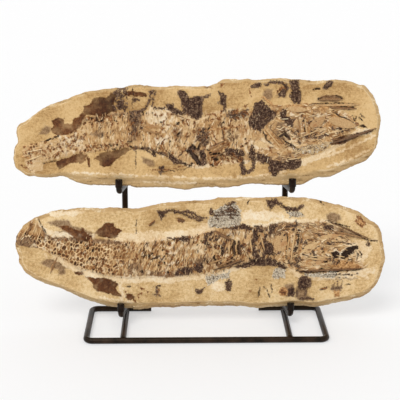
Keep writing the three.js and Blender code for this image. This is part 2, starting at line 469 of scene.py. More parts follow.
def ripple(x, y, size, seed):
    """Smooth uneven ground from -1 to 1, with bumps about the given size across."""
    lattice = np.random.default_rng(seed).uniform(-1, 1, (LATTICE, LATTICE))
    along, above = x / size + LATTICE_SHIFT[0], y / size + LATTICE_SHIFT[1]
    column, row = np.floor(along).astype(int), np.floor(above).astype(int)
    along, above = along - column, above - row
    along, above = along * along * (3 - 2 * along), above * above * (3 - 2 * above)
    left, right, low, high = column % LATTICE, (column + 1) % LATTICE, row % LATTICE, (row + 1) % LATTICE
    under = lattice[low, left] * (1 - along) + lattice[low, right] * along
    over = lattice[high, left] * (1 - along) + lattice[high, right] * along
    return under * (1 - above) + over * above


def rough(x, y, size, seed, octaves=3):
    """Broken ground: ripples of halving size laid over each other."""
    ground = np.zeros(len(x))
    for octave in range(octaves):
        ground += ripple(x, y, size / 2 ** octave, seed + octave) / 2 ** octave
    return ground / 1.6


def patch_depth(across, up, outline):
    """How far inside a closed outline each point lies, negative outside it."""
    outline = np.asarray(outline, dtype=float)
    depth = np.full(len(across), -REACH)
    low, high = outline.min(0) - REACH, outline.max(0) + REACH
    near = np.flatnonzero((across > low[0]) & (across < high[0]) & (up > low[1]) & (up < high[1]))
    x, y = across[near], up[near]
    gap = np.full(len(near), 1e6)
    inside = np.zeros(len(near), dtype=bool)
    for (ax, ay), (bx, by) in zip(outline, np.roll(outline, -1, 0)):
        dx, dy = bx - ax, by - ay
        share = np.clip(((x - ax) * dx + (y - ay) * dy) / (dx * dx + dy * dy + 1e-9), 0, 1)
        gap = np.minimum(gap, np.hypot(x - ax - share * dx, y - ay - share * dy))
        if ay != by:
            inside ^= ((ay > y) != (by > y)) & (x < ax + (y - ay) * dx / dy)
    depth[near] = np.where(inside, gap, np.maximum(-gap, -REACH))
    return depth


def stroke_depth(across, up, path, width):
    """How far inside a drawn stroke each point lies: the stroke narrows towards its two ends."""
    path = np.asarray(path, dtype=float)
    depth = np.full(len(across), -REACH)
    low, high = path.min(0) - REACH - width, path.max(0) + REACH + width
    near = np.flatnonzero((across > low[0]) & (across < high[0]) & (up > low[1]) & (up < high[1]))
    x, y = across[near], up[near]
    best = np.full(len(near), -REACH)
    lengths = np.hypot(*np.diff(path, axis=0).T)
    total, walked = lengths.sum(), 0.0
    for (ax, ay), (bx, by), length in zip(path, path[1:], lengths):
        share = np.clip(((x - ax) * (bx - ax) + (y - ay) * (by - ay)) / (length * length + 1e-9), 0, 1)
        way = (walked + share * length) / total
        half = width / 2 * (TIP_WIDTH + (1 - TIP_WIDTH) * np.sin(np.pi * np.clip(way, 0.02, 0.98)) ** 0.5)
        best = np.maximum(best, half - np.hypot(x - ax - share * (bx - ax), y - ay - share * (by - ay)))
        walked += length
    depth[near] = best
    return depth


def cell_field(x, y, seed):
    """Unit cells with wandering walls: how deep inside its cell a point lies, and a chance tone per cell."""
    chance = np.random.default_rng(seed).uniform(0, 1, (3, CELLS, CELLS))
    column, row = np.floor(x).astype(int), np.floor(y).astype(int)
    first, second = np.full(len(x), 9.0), np.full(len(x), 9.0)
    tone = np.zeros(len(x))
    for across in (-1, 0, 1):
        for above in (-1, 0, 1):
            a, b = (column + across) % CELLS, (row + above) % CELLS
            stagger = 0.5 * ((row + above) % 2)
            centre_x = column + across + 0.5 + 0.7 * (chance[0, b, a] - 0.5) + stagger - 0.25
            centre_y = row + above + 0.5 + 0.6 * (chance[1, b, a] - 0.5)
            away = np.hypot(x - centre_x, y - centre_y)
            closer = away < first
            second = np.where(closer, first, np.minimum(second, away))
            tone = np.where(closer, chance[2, b, a], tone)
            first = np.where(closer, away, first)
    return second - first, tone


def flowing_bone(across, up, lean, seed):
    """Crushed head bones: long plates that wind round each other, split by dark seams."""
    wind = 9.0 * rough(across, up, 30.0, seed)
    along = across + lean * up + wind
    over = up - lean * across + wind
    plates = rough(along / 2.4, over, 8.5, seed + 3, 2)
    shards = rough(along * 0.8, over / 1.8, 6.0, seed + 6, 2)
    seam = np.minimum(3.4 * abs(plates), 2.6 * abs(shards) + 0.15)
    tone = 0.56 + 0.2 * rough(along / 1.8, over, 7.0, seed + 9) + 0.16 * rough(across, up, 3.2, seed + 12)
    return seam, tone + 0.12 * np.sign(plates) * np.sign(shards)


def soft_step(value, low, high):
    """From 0 to 1, easing in and out, as the value goes from low to high."""
    share = np.clip((value - low) / (high - low), 0, 1)
    return share * share * (3 - 2 * share)


def height_along(line, across):
    """The height of a drawn line at each place across."""
    line = np.asarray(line, dtype=float)
    return np.interp(across, line[:, 0], line[:, 1])


def body_middle(look, across):
    """The height half-way between the fish's belly and back at each place across."""
    return (height_along(look["body_low"], across) + height_along(look["body_high"], across)) / 2


def hex_grid(low, high, step):
    """Evenly spread points over a box, each row shifted by half a step."""
    rows = np.arange(low[1], high[1], step * ROW_RISE)
    columns = np.arange(low[0], high[0], step)
    x, y = np.meshgrid(columns, rows)
    x = x + (np.arange(len(rows)) % 2)[:, None] * step / 2
    return np.column_stack((x.ravel(), y.ravel()))


def fill_outline(outline, inner):
    """Triangles over all the space inside an outline, through its own and the inner points."""
    points = np.vstack((outline, inner))
    ring = [(i, (i + 1) % len(outline)) for i in range(len(outline))]
    made = delaunay_2d_cdt([Vector(p) for p in points], ring, [], 1, 1e-6, True)
    faces = np.array(made[2])
    middles = points[faces].mean(1)
    bridging = (faces < len(outline)).all(1) & (patch_depth(middles[:, 0], middles[:, 1], outline) < 0)
    return [tuple(face) for face in faces[~bridging].tolist()]


def slab_outline(points):
    """The slab's outline round its rim: a smooth line through its points, walked in short even steps."""
    points = np.asarray(points, dtype=float)
    before, after, beyond = np.roll(points, 1, 0), np.roll(points, -1, 0), np.roll(points, -2, 0)
    t = np.linspace(0, 1, 12, endpoint=False)[None, :, None]
    a, b, c, d = (part[:, None, :] for part in (before, points, after, beyond))
    bend = 2 * b + (c - a) * t + (2 * a - 5 * b + 4 * c - d) * t ** 2 + (3 * b - a - 3 * c + d) * t ** 3
    bend = (0.5 * bend).reshape(-1, 2)
    closed = np.vstack((bend, bend[:1]))
    walk = np.concatenate(([0.0], np.cumsum(np.hypot(*np.diff(closed, axis=0).T))))
    stops = np.arange(0, walk[-1] - RIM_STEP / 2, RIM_STEP)
    rim = np.column_stack((np.interp(stops, walk, closed[:, 0]), np.interp(stops, walk, closed[:, 1])))
    if np.cross(rim, np.roll(rim, -1, 0)).sum() < 0:
        rim = rim[::-1]
    ahead, behind = np.roll(rim, -1, 0), np.roll(rim, 1, 0)
    inward = np.column_stack((behind[:, 1] - ahead[:, 1], ahead[:, 0] - behind[:, 0]))
    inward /= np.hypot(*inward.T)[:, None]
    return rim, inward


def body_depth(look, across, up):
    """How far inside the fish each point lies, from the lines of its belly and back and from its ends."""
    low, high = look["body_low"], look["body_high"]
    from_lines = np.minimum(up - height_along(low, across), height_along(high, across) - up)
    return np.minimum(from_lines, np.minimum(across - low[0][0], low[-1][0] - across))


def lay_marks(across, up, patches, strokes, seed):
    """Each layer's depth at each point: patches have frayed edges, strokes keep their line."""
    layers = {name: np.full(len(across), -REACH) for name in LAYERS}
    fray = {"stain": 1.7, "haze": 1.2, "crust": 1.5, "grit": 2.2, "cream": 3.0, "honey": 1.0}
    for name, outlines in patches.items():
        pull = fray.get(name, 0.6)
        x = across + pull * rough(across, up, 7.0, seed + 11, 4)
        y = up + pull * rough(across, up, 7.0, seed + 23, 4)
        for outline in outlines:
            layers[name] = np.maximum(layers[name], patch_depth(x, y, outline))
    x = across + 1.5 * rough(across, up, 6.0, seed + 31)
    y = up + 1.5 * rough(across, up, 6.0, seed + 37)
    wear = rough(across, up, 4.0, seed + 43)
    for name, drawn in strokes.items():
        for width, *path in drawn:
            worn = stroke_depth(x, y, path, width) + 0.12 * width * wear
            layers[name] = np.maximum(layers[name], np.maximum(worn, -REACH))
    return layers


def scatter_specks(layers, name, across, up, outline, count, size, seed):
    """Small specks of one layer, scattered inside an outline."""
    rng = np.random.default_rng(seed)
    outline = np.asarray(outline, dtype=float)
    low, high = outline.min(0), outline.max(0)
    tries = rng.uniform(low, high, (count * 4, 2))
    tries = tries[patch_depth(tries[:, 0], tries[:, 1], outline) > 0.5][:count]
    for x, y in tries:
        half = size / 2 * rng.uniform(0.5, 1.4)
        turn, slender = rng.uniform(0.4, 2.7), rng.uniform(1.0, 2.8)
        near = np.flatnonzero((abs(across - x) < SPECK_REACH) & (abs(up - y) < SPECK_REACH))
        along = (across[near] - x) * math.cos(turn) + (up[near] - y) * math.sin(turn)
        over = (up[near] - y) * math.cos(turn) - (across[near] - x) * math.sin(turn)
        layers[name][near] = np.maximum(layers[name][near], half - np.hypot(along / slender, over))


def store(mesh, name, columns):
    """Keeps four numbers a point on the mesh, for the finish to read."""
    layer = mesh.attributes.new(name, "FLOAT_COLOR", "POINT")
    layer.data.foreach_set("color", np.column_stack(columns).astype(np.float32).ravel())


def coverage(depth):
    """A layer's depth as a number from 0 to 1, with 0.5 on the layer's edge."""
    return np.clip(0.5 + depth / (2 * REACH), 0, 1)


def effect_group(name, inputs, outputs):
    """An empty shader group with named number inputs and outputs, and what its inputs bring in."""
    group = bpy.data.node_groups.new(name, "ShaderNodeTree")
    for label, value in inputs:
        socket = group.interface.new_socket(label, in_out="INPUT", socket_type="NodeSocketFloat")
        socket.default_value = value
    for label in outputs:
        group.interface.new_socket(label, in_out="OUTPUT", socket_type="NodeSocketFloat")
    return group, group.nodes.new("NodeGroupInput").outputs


def calc(tree, operation, *inputs):
    """One sum, and its result."""
    return add_node(tree, "ShaderNodeMath", dict(enumerate(inputs)), operation=operation).outputs[0]


def blend(tree, amount, below, above, kind="MIX"):
    """Lays one colour over another by an amount."""
    made = add_node(tree, "ShaderNodeMix", {0: amount, 6: below, 7: above}, data_type="RGBA", blend_type=kind)
    return made.outputs[2]


def weigh(tree, first, share, second, rest):
    """Two values added, each by its share."""
    return calc(tree, "ADD", calc(tree, "MULTIPLY", first, share), calc(tree, "MULTIPLY", second, rest))


def shake(tree, value, chance, amount):
    """A value moved up and down by noise."""
    return calc(tree, "ADD", value, calc(tree, "MULTIPLY", calc(tree, "SUBTRACT", chance, 0.5), amount))


torn_edge, torn_in = effect_group(
    "Torn Edge", (("Coverage", 0.5), ("Fray", 0.2), ("Size", 700.0), ("Softness", 0.05)), ("Mask",))
torn_place = add_node(torn_edge, "ShaderNodeTexCoord").outputs["Object"]
torn_noise = noise(torn_edge, torn_place, torn_in["Size"], 5.0, 0.65)
torn_noise = spread(torn_edge, torn_noise, 0.3, 0.7, kind="LINEAR")
torn_mask = spread(
    torn_edge, shake(torn_edge, torn_in["Coverage"], torn_noise, torn_in["Fray"]),
    calc(torn_edge, "SUBTRACT", 0.5, torn_in["Softness"]), calc(torn_edge, "ADD", 0.5, torn_in["Softness"]),
)
add_node(torn_edge, "NodeGroupOutput", {"Mask": torn_mask})

stone_grain, grain_in = effect_group(
    "Stone Grain", (("Size", 600.0), ("Pits", 0.5)), ("Cloud", "Grain", "Speck"))
grain_place = add_node(stone_grain, "ShaderNodeTexCoord").outputs["Object"]
grain_cloud = noise(stone_grain, grain_place, calc(stone_grain, "MULTIPLY", grain_in["Size"], 0.06), 5.0)
grain_cloud = spread(stone_grain, grain_cloud, 0.3, 0.7, kind="LINEAR")
grain_fine = noise(stone_grain, grain_place, grain_in["Size"], 5.0, 0.7)
grain_fine = spread(stone_grain, grain_fine, 0.3, 0.7, kind="LINEAR")
grain_cells = add_node(stone_grain, "ShaderNodeTexVoronoi", {
    "Vector": grain_place, "Scale": calc(stone_grain, "MULTIPLY", grain_in["Size"], 0.4),
}).outputs["Distance"]
grain_speck = spread(stone_grain, grain_cells, 0.05, 0.3, 1.0, 0.0)
grain_speck = calc(stone_grain, "MULTIPLY", grain_speck, grain_in["Pits"])
add_node(stone_grain, "NodeGroupOutput", {"Cloud": grain_cloud, "Grain": grain_fine, "Speck": grain_speck})


def stone_finish(name, look):
    """Split limestone with everything on it, each layer over the last: stains, bone, crust and cracks."""
    tones = look["colours"]
    material, tree, shader = new_finish(name, {"Specular IOR Level": 0.22})
    read = {}
    for attribute, labels in (
        ("film", LAYERS[:4]), ("bone", LAYERS[4:]),
        ("flank", ("wall", "tone", "body", "wall_tone")), ("edge", ("bevel", "streak", "weather")),
    ):
        stored = add_node(tree, "ShaderNodeAttribute", attribute_name=attribute)
        parts = add_node(tree, "ShaderNodeSeparateColor", {0: stored.outputs["Color"]}).outputs
        read.update(zip(labels, (parts[0], parts[1], parts[2], stored.outputs["Alpha"])))

    def grain(size):
        return add_node(tree, "ShaderNodeGroup", {"Size": size, "Pits": 0.8}, node_tree=stone_grain).outputs

    def torn(label, fray, size, softness):
        return add_node(tree, "ShaderNodeGroup", {
            "Coverage": read[label], "Fray": fray, "Size": size, "Softness": softness,
        }, node_tree=torn_edge).outputs["Mask"]

    def times(first, second):
        return calc(tree, "MULTIPLY", first, second)

    broad, fine = grain(300.0), grain(900.0)
    place = add_node(tree, "ShaderNodeTexCoord").outputs["Object"]
    mixed = weigh(tree, broad["Grain"], 0.6, fine["Grain"], 0.4)
    mottle = weigh(tree, broad["Cloud"], 0.4, mixed, 0.6)
    fleck = spread(tree, mixed, 0.24, 0.76, kind="LINEAR")
    slanted = add_node(tree, "ShaderNodeMapping", {
        "Vector": place, "Rotation": (0, 0.6, 0), "Scale": (1.0, 1.0, 7.0),
    })
    scratch = spread(tree, noise(tree, slanted.outputs[0], 90.0, 4.0), 0.52, 0.7)
    stone = ramp(tree, mottle, [
        (0.33, tones["stone_dark"]), (0.5, tones["stone"]), (0.67, tones["stone_pale"]),
    ])
    stone = blend(tree, times(scratch, 0.5), stone, srgb(*tones["stone_pale"]))
    speck = times(broad["Speck"], spread(tree, mixed, 0.5, 0.7))
    stone = blend(tree, times(speck, 0.7), stone, srgb(*tones["stone_speck"]))

    # the chipped rim, a painted highlight along its arris, and the weathered back
    ledge = ramp(tree, weigh(tree, read["streak"], 0.55, mixed, 0.45), [
        (0.25, tones["bevel_dark"]), (0.45, tones["bevel"]),
        (0.6, tones["bevel"]), (0.75, tones["bevel_pale"]),
    ])
    stone = blend(tree, spread(tree, read["bevel"], 0.02, 0.4), stone, ledge)
    # painted highlight: a pale line in the bevel's pale colour, where the flat face turns over into the bevel
    past_arris = spread(tree, read["bevel"], 0.12, 0.34)
    arris_highlight = calc(tree, "SUBTRACT", spread(tree, read["bevel"], 0.01, 0.06), past_arris)
    arris_highlight = times(arris_highlight, spread(tree, fine["Cloud"], 0.3, 0.7))
    stone = blend(tree, times(arris_highlight, look["arris_highlight"]), stone, srgb(*tones["bevel_pale"]))
    rind = ramp(tree, mottle, [
        (0.25, (128, 98, 64)), (0.45, (168, 138, 98)), (0.6, (190, 164, 124)), (0.8, (212, 192, 156)),
    ])
    stone = blend(tree, times(read["weather"], 0.8), stone, rind)

    # the fish: the tone of each cell, stripe or plate, and the tone of the walls between them
    deep = shake(tree, read["tone"], mixed, 0.55)
    walls = shake(tree, read["wall_tone"], mixed, 0.45)
    wall_share = spread(tree, read["wall"], 0.04, 0.36)
    fish = ramp(tree, weigh(tree, deep, wall_share, walls, calc(tree, "SUBTRACT", 1.0, wall_share)), [
        (0.0, (50, 33, 22)), (0.2, (104, 70, 43)), (0.38, (154, 111, 69)),
        (0.55, (188, 147, 98)), (0.75, (214, 179, 130)), (1.0, (240, 218, 180)),
    ])
    tinge = spread(tree, broad["Grain"], 0.5, 0.8)
    fish = blend(tree, times(tinge, 0.3), fish, srgb(240, 184, 120), "MULTIPLY")
    colour = blend(tree, torn("body", 0.5, 300.0, 0.1), stone, fish)


    # what lies over both, from the faintest film to the darkest crack
    soaked = spread(tree, fine["Cloud"], 0.1, 0.55, 0.72, 1.0)
    salt = spread(tree, fleck, 0.24, 0.5)
    grit = blend(tree, salt, srgb(*tones["grit_dark"]), srgb(*tones["grit"]))
    for share, laid in (
        (times(torn("haze", 0.35, 260.0, 0.3), 0.8),
         ramp(tree, fleck, [(0.2, (92, 66, 48)), (0.8, (150, 118, 88))])),
        (times(torn("cream", 0.8, 200.0, 0.2), 0.85),
         ramp(tree, mottle, [(0.25, (206, 171, 124)), (0.5, (234, 208, 168)), (0.75, (250, 236, 210))])),
        (times(torn("stain", 0.42, 330.0, 0.14), soaked),
         ramp(tree, mottle, [(0.25, (52, 27, 11)), (0.5, (88, 50, 24)), (0.75, (130, 84, 46))])),
        (torn("honey", 0.35, 400.0, 0.12),
         ramp(tree, fleck, [(0.1, (120, 78, 44)), (0.5, (190, 140, 86)), (0.9, (222, 180, 126))])),
        (torn("grit", 0.8, 300.0, 0.1), grit),
        (torn("crust", 0.9, 300.0, 0.07),
         ramp(tree, fleck, [
             (0.1, (38, 23, 16)), (0.4, (72, 49, 37)), (0.66, (98, 72, 56)), (0.92, (160, 132, 102)),
         ])),
        (torn("rust", 0.5, 400.0, 0.12),
         ramp(tree, fleck, [(0.1, (70, 40, 22)), (0.5, (124, 76, 42)), (0.9, (184, 132, 82))])),
        (torn("ink", 0.45, 380.0, 0.14), ramp(tree, fleck, [(0.1, (26, 18, 14)), (0.9, (72, 51, 37))])),
    ):
        colour = blend(tree, share, colour, laid)
    tree.links.new(colour, shader.inputs["Base Color"])

    shine = calc(tree, "MAXIMUM", read["honey"], times(read["stain"], 0.6))
    matt = calc(tree, "SUBTRACT", 0.9, times(spread(tree, shine, 0.45, 0.6), 0.3))
    tree.links.new(matt, shader.inputs["Roughness"])
    relief = calc(tree, "ADD", mixed, times(speck, -0.6))
    clotted = calc(tree, "MAXIMUM", torn("crust", 1.1, 300.0, 0.3), read["body"])
    roughen(tree, shader, times(relief, calc(tree, "ADD", 0.6, clotted)), 0.8, 0.7 * MM)
    return material


bits_tree, bits_in = new_tree("scattered bits", ("Bit", "NodeSocketObject"), ("Finish", "NodeSocketMaterial"))


def kept(name):
    """Three numbers that each point of the scattered bits keeps under a name."""
    held = add_node(bits_tree, "GeometryNodeInputNamedAttribute", {"Name": name}, data_type="FLOAT_VECTOR")
    return held.outputs["Attribute"]


one_bit = add_node(bits_tree, "GeometryNodeObjectInfo", {"Object": bits_in["Bit"]})
bits_laid = add_node(bits_tree, "GeometryNodeInstanceOnPoints", {
    "Points": bits_in["Geometry"], "Instance": one_bit.outputs["Geometry"],
    "Rotation": kept("turn"), "Scale": kept("stretch"),
})
end_tree(bits_tree, bits_laid.outputs[0], bits_in["Finish"])


def template(name, points, faces):
    """One bit, unit sized, that the tree above copies."""
    mesh = bpy.data.meshes.new(name)
    mesh.from_pydata(points, [], faces)
    return place_object(name, mesh)


def splinter_shape():
    """A sliver of bone: six-sided, thick in the middle, drawn out and a little bent at the ends."""
    points, faces = [], []
    stations = ((-0.5, 0.12), (-0.28, 0.4), (0.05, 0.5), (0.33, 0.36), (0.5, 0.1))
    for along, girth in stations:
        for k in range(6):
            turn = math.pi * k / 3
            points.append((along, girth * math.cos(turn) + 0.6 * along * along, girth * math.sin(turn)))
    for i in range(4):
        for k in range(6):
            a, b = i * 6 + k, i * 6 + (k + 1) % 6
            faces.append((a, b, b + 6, a + 6))
    faces.append((5, 4, 3, 2, 1, 0))
    faces.append((24, 25, 26, 27, 28, 29))
    return points, faces


def grain_shape():
    """A crystal: an uneven eight-sided lump."""
    points = [
        (0.5, 0.1, 0), (-0.46, -0.05, 0.06), (0.08, 0.5, -0.04),
        (-0.05, -0.52, 0), (0.1, -0.06, 0.5), (0, 0, -0.5),
    ]
    faces = [(0, 2, 4), (2, 1, 4), (1, 3, 4), (3, 0, 4), (2, 0, 5), (1, 2, 5), (3, 1, 5), (0, 3, 5)]
    return points, faces


def plate_shape():
    """A flake of bone or scale: a low dome, pointed at one end."""
    points, faces = [], []
    for size, rise in ((1.0, -0.35), (0.93, 0.12), (0.6, 0.42)):
        for k in range(12):
            turn = math.pi * k / 6
            narrow = 1 - 0.35 * max(math.cos(turn), 0) ** 2
            points.append((0.5 * size * math.cos(turn), 0.5 * size * math.sin(turn) * narrow, rise))
    points.append((-0.04, 0, 0.5))
    for ring in (0, 12):
        for k in range(12):
            a, b = ring + k, ring + (k + 1) % 12
            faces.append((a, b, b + 12, a + 12))
    for k in range(12):
        faces.append((24 + k, 24 + (k + 1) % 12, 36))
    faces.append(tuple(range(11, -1, -1)))
    return points, faces


def bit_finish(name, stops, roughness, amber):
    """Each bit takes one tone of its own from a ramp, with fine dirt over it."""
    material, tree, shader = new_finish(name, {"Roughness": roughness, "Specular IOR Level": 0.3})
    own = add_node(tree, "ShaderNodeAttribute", attribute_name="tone").outputs["Fac"]
    place = add_node(tree, "ShaderNodeTexCoord").outputs["Object"]
    bone = ramp(tree, shake(tree, own, noise(tree, place, 700.0, 4.0), 0.5), stops)
    warmth = spread(tree, noise(tree, place, 120.0, 3.0), 0.5, 0.72, 0.0, amber)
    tree.links.new(blend(tree, warmth, bone, srgb(214, 150, 84), "MULTIPLY"), shader.inputs["Base Color"])
    return material


splinter = template("one_splinter", *splinter_shape())
crystal = template("one_crystal", *grain_shape())
flake = template("one_flake", *plate_shape())
bone_bits = bit_finish("bone_splinters", [
    (0.0, (52, 36, 26)), (0.25, (118, 86, 57)), (0.5, (180, 141, 95)),
    (0.75, (216, 184, 135)), (1.0, (244, 224, 186)),
], 0.6, 0.42)
crust_bits = bit_finish("iron_crust_grains", [
    (0.0, (40, 26, 20)), (0.45, (82, 59, 47)), (0.75, (116, 88, 70)), (1.0, (196, 168, 136)),
], 0.75, 0.2)
calcite_bits = bit_finish("calcite_grains", [
    (0.0, (80, 64, 50)), (0.25, (150, 130, 106)), (0.6, (212, 198, 174)), (1.0, (240, 232, 216)),
], 0.5, 0.1)


def scatter_bits(name, tier, bit, finish, places, turns, stretches, tones):
    """Lays the bits on a slab's face, as one plain mesh that stays with the slab."""
    mesh = bpy.data.meshes.new(name)
    mesh.from_pydata(places.tolist(), [], [])
    for label, kind, values in (("turn", "FLOAT_VECTOR", turns), ("stretch", "FLOAT_VECTOR", stretches)):
        layer = mesh.attributes.new(label, kind, "POINT")
        layer.data.foreach_set("vector", values.astype(np.float32).ravel())
    layer = mesh.attributes.new("tone", "FLOAT", "POINT")
    layer.data.foreach_set("value", tones.astype(np.float32))
    bits = grow(name, mesh, bits_tree, bit=bit, finish=finish)
    origin = tier_point(tier, 0, -FACE_DISTANCE * MM, ARM_CLEARANCE * MM)
    upright, outward = leaning_up * MM, -leaning_back * MM
    bits.data.transform(Matrix((
        (MM, upright.x, outward.x, origin.x), (0, upright.y, outward.y, origin.y),
        (0, upright.z, outward.z, origin.z), (0, 0, 0, 1),
    )))
    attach(bits, "root")


def dress_face(node, tier, look, across, up, height, layers, body, free):
    """Bone splinters over the fish, and grains over the crust and calcite, each where its mark lies."""
    rng = np.random.default_rng(look["seed"] + 700)

    def pick(weight, number):
        weight = np.where(free, weight, 0)
        return rng.choice(len(across), number, replace=False, p=weight / weight.sum())

    def places(chosen, rise):
        return np.column_stack((across[chosen], up[chosen], height[chosen] + rise))

    for label, finish, number, low, high in (
        ("crust", crust_bits, look["crust_grains"], 0.8, 2.0),
        ("grit", calcite_bits, look["calcite_grains"], 0.8, 2.2),
    ):
        weight = soft_step(layers[label], -0.9, 0.6)
        if label == "grit":
            weight = weight * (1 - soft_step(layers["crust"], -0.5, 0.5))
        chosen = pick(weight, number)
        sizes = rng.uniform(low, high, (number, 1)) * rng.uniform(0.7, 1.2, (number, 3))
        tones = np.clip(rng.normal(0.42 if label == "crust" else 0.56, 0.26, number), 0, 1)
        scatter_bits(f"{node}_{finish.name}", tier, crystal, finish, places(chosen, 0.1),
                     rng.uniform(0, FULL_TURN, (number, 3)), sizes, tones)
    bare = soft_step(body, -0.5, 1.0) * (1 - 0.8 * soft_step(layers["crust"], -0.5, 0.5))
    bare = bare * (0.35 + 0.65 * soft_step(across, *look["tail_span"]))
    for label in ("honey", "ink", "grit"):
        bare = bare * (1 - soft_step(layers[label], -1.2, 0.0))
    chosen = pick(bare, look["splinters"])
    lay, spread_of_lay, length, girth = look["lay"](across[chosen], up[chosen])
    number = len(chosen)
    turn = lay + spread_of_lay * rng.normal(0, 1, number)
    turns = np.column_stack((rng.uniform(0, FULL_TURN, number), rng.normal(0, 0.07, number), turn))
    girths = girth * rng.uniform(0.6, 1.4, number)
    stretches = np.column_stack((length * rng.uniform(0.5, 1.6, number), girths, girths))
    tones = np.clip(rng.normal(0.56, 0.27, number), 0, 1)
    scatter_bits(f"{node}_bone_splinters", tier, splinter, bone_bits,
                 places(chosen, 0.15), turns, stretches, tones)
    for label, bit, rows in (("long_bones", splinter, look["long_bones"]), ("plates", flake, look["plates"])):
        rows = np.array(rows, dtype=float)
        middles = (rows[:, :2] + rows[:, 2:4]) / 2
        held = [np.argmin(np.hypot(across - x, up - y)) for x, y in middles]
        run = rows[:, 2:4] - rows[:, :2]
        rise = 0.25 * rows[:, 4] if bit is splinter else 0.3
        spots = np.column_stack((middles, height[held] + rise))
        turns = np.column_stack((rows[:, 5], np.zeros(len(rows)), np.arctan2(run[:, 1], run[:, 0])))
        high = rows[:, 4] if bit is splinter else np.full(len(rows), 1.3)
        scatter_bits(f"{node}_{label}", tier, bit, bone_bits, spots, turns,
                     np.column_stack((np.hypot(*run.T), rows[:, 4], high)), rows[:, 6])
    chosen = pick(bare * soft_step(across, *look["head_span"]), look["flakes"])
    lay, spread_of_lay, length, girth = look["lay"](across[chosen], up[chosen])
    number = len(chosen)
    tilts = rng.normal(0, 0.12, (number, 2))
    turns = np.column_stack((tilts, lay + spread_of_lay * rng.normal(0, 1.2, number)))
    wide = rng.uniform(1.8, 4.0, number)
    stretches = np.column_stack((wide * rng.uniform(1.6, 3.2, number), wide, rng.uniform(0.8, 1.4, number)))
    tones = np.clip(rng.normal(0.5, 0.12, number), 0, 1)
    scatter_bits(f"{node}_bone_flakes", tier, flake, bone_bits, places(chosen, 0.1), turns, stretches, tones)


def face_relief(across, up, edge, look, layers, flank):
    """How far the split face stands proud at each point: what is bone stands up, what is a crack cuts in."""
    seed = look["seed"]
    ragged = 2.4 * rough(across, up, 10.0, seed + 3) + 1.4 * rough(across, up, 3.6, seed + 4)
    body = np.clip(body_depth(look, across, up) + ragged, -REACH, REACH)
    wall, _, _, ridge = flank
    height = 0.8 * rough(across, up, 46.0, seed + 5) + 0.3 * rough(across, up, 10.0, seed + 7, 4)
    scraped = ripple(across + 0.5 * up, up * 0.14, 3.6, seed + 10)
    height += 0.15 * ripple(across, up, 3.3, seed + 8) + 0.2 * scraped
    height += look["body_swell"] * soft_step(body, -1.5, 3.0)
    in_body = soft_step(body, -0.6, 0.6)
    height += in_body * (ridge * (1 - wall) + 0.5 * rough(across, up, 3.4, seed + 9))
    height += 0.12 * soft_step(layers["stain"], -0.3, 0.5)
    clot = 0.7 + 0.9 * rough(across, up, 4.0, seed + 13)
    height += clot * soft_step(layers["crust"], -0.5, 0.9)
    height += 1.1 * rough(across, up, 3.0, seed + 15) * soft_step(layers["grit"], -0.8, 1.0)
    height += 0.9 * soft_step(layers["honey"], -0.4, 0.7) + 0.5 * soft_step(layers["rust"], -0.6, 0.6)
    height += 0.3 * soft_step(layers["cream"], -0.8, 1.2)
    height -= look["ink_depth"] * soft_step(layers["ink"], -0.6, 0.9)
    if "step_drop" in look:
        under = soft_step(height_along(look["step_line"], across) - up, -0.5, 3.0)
        height -= look["step_drop"] * (soft_step(across, *look["step_span"]) * under)
    line = height_along(look["bevel_line"], across) + 1.5 * rough(across, up * 0, 12.0, seed + 17)
    below = soft_step(line - up, 0.0, np.maximum(line - up + edge, 4.0)) * (up < look["crown"][1])
    streak = rough(across * 0.16, up, 2.6, seed + 19)
    height -= below * (look["bevel_drop"] + 1.1 * streak)
    worn = look["top_bevel"] + 1.6 * ripple(across, up * 0.3, 17.0, seed + 21) - edge
    above = (1 - below) * soft_step(worn, 0.0, look["top_bevel"])
    height -= EDGE_WEAR * above * (0.8 + 0.25 * streak)
    bevel = np.maximum(below, above)
    return height, body, bevel, 0.5 + 0.5 * streak


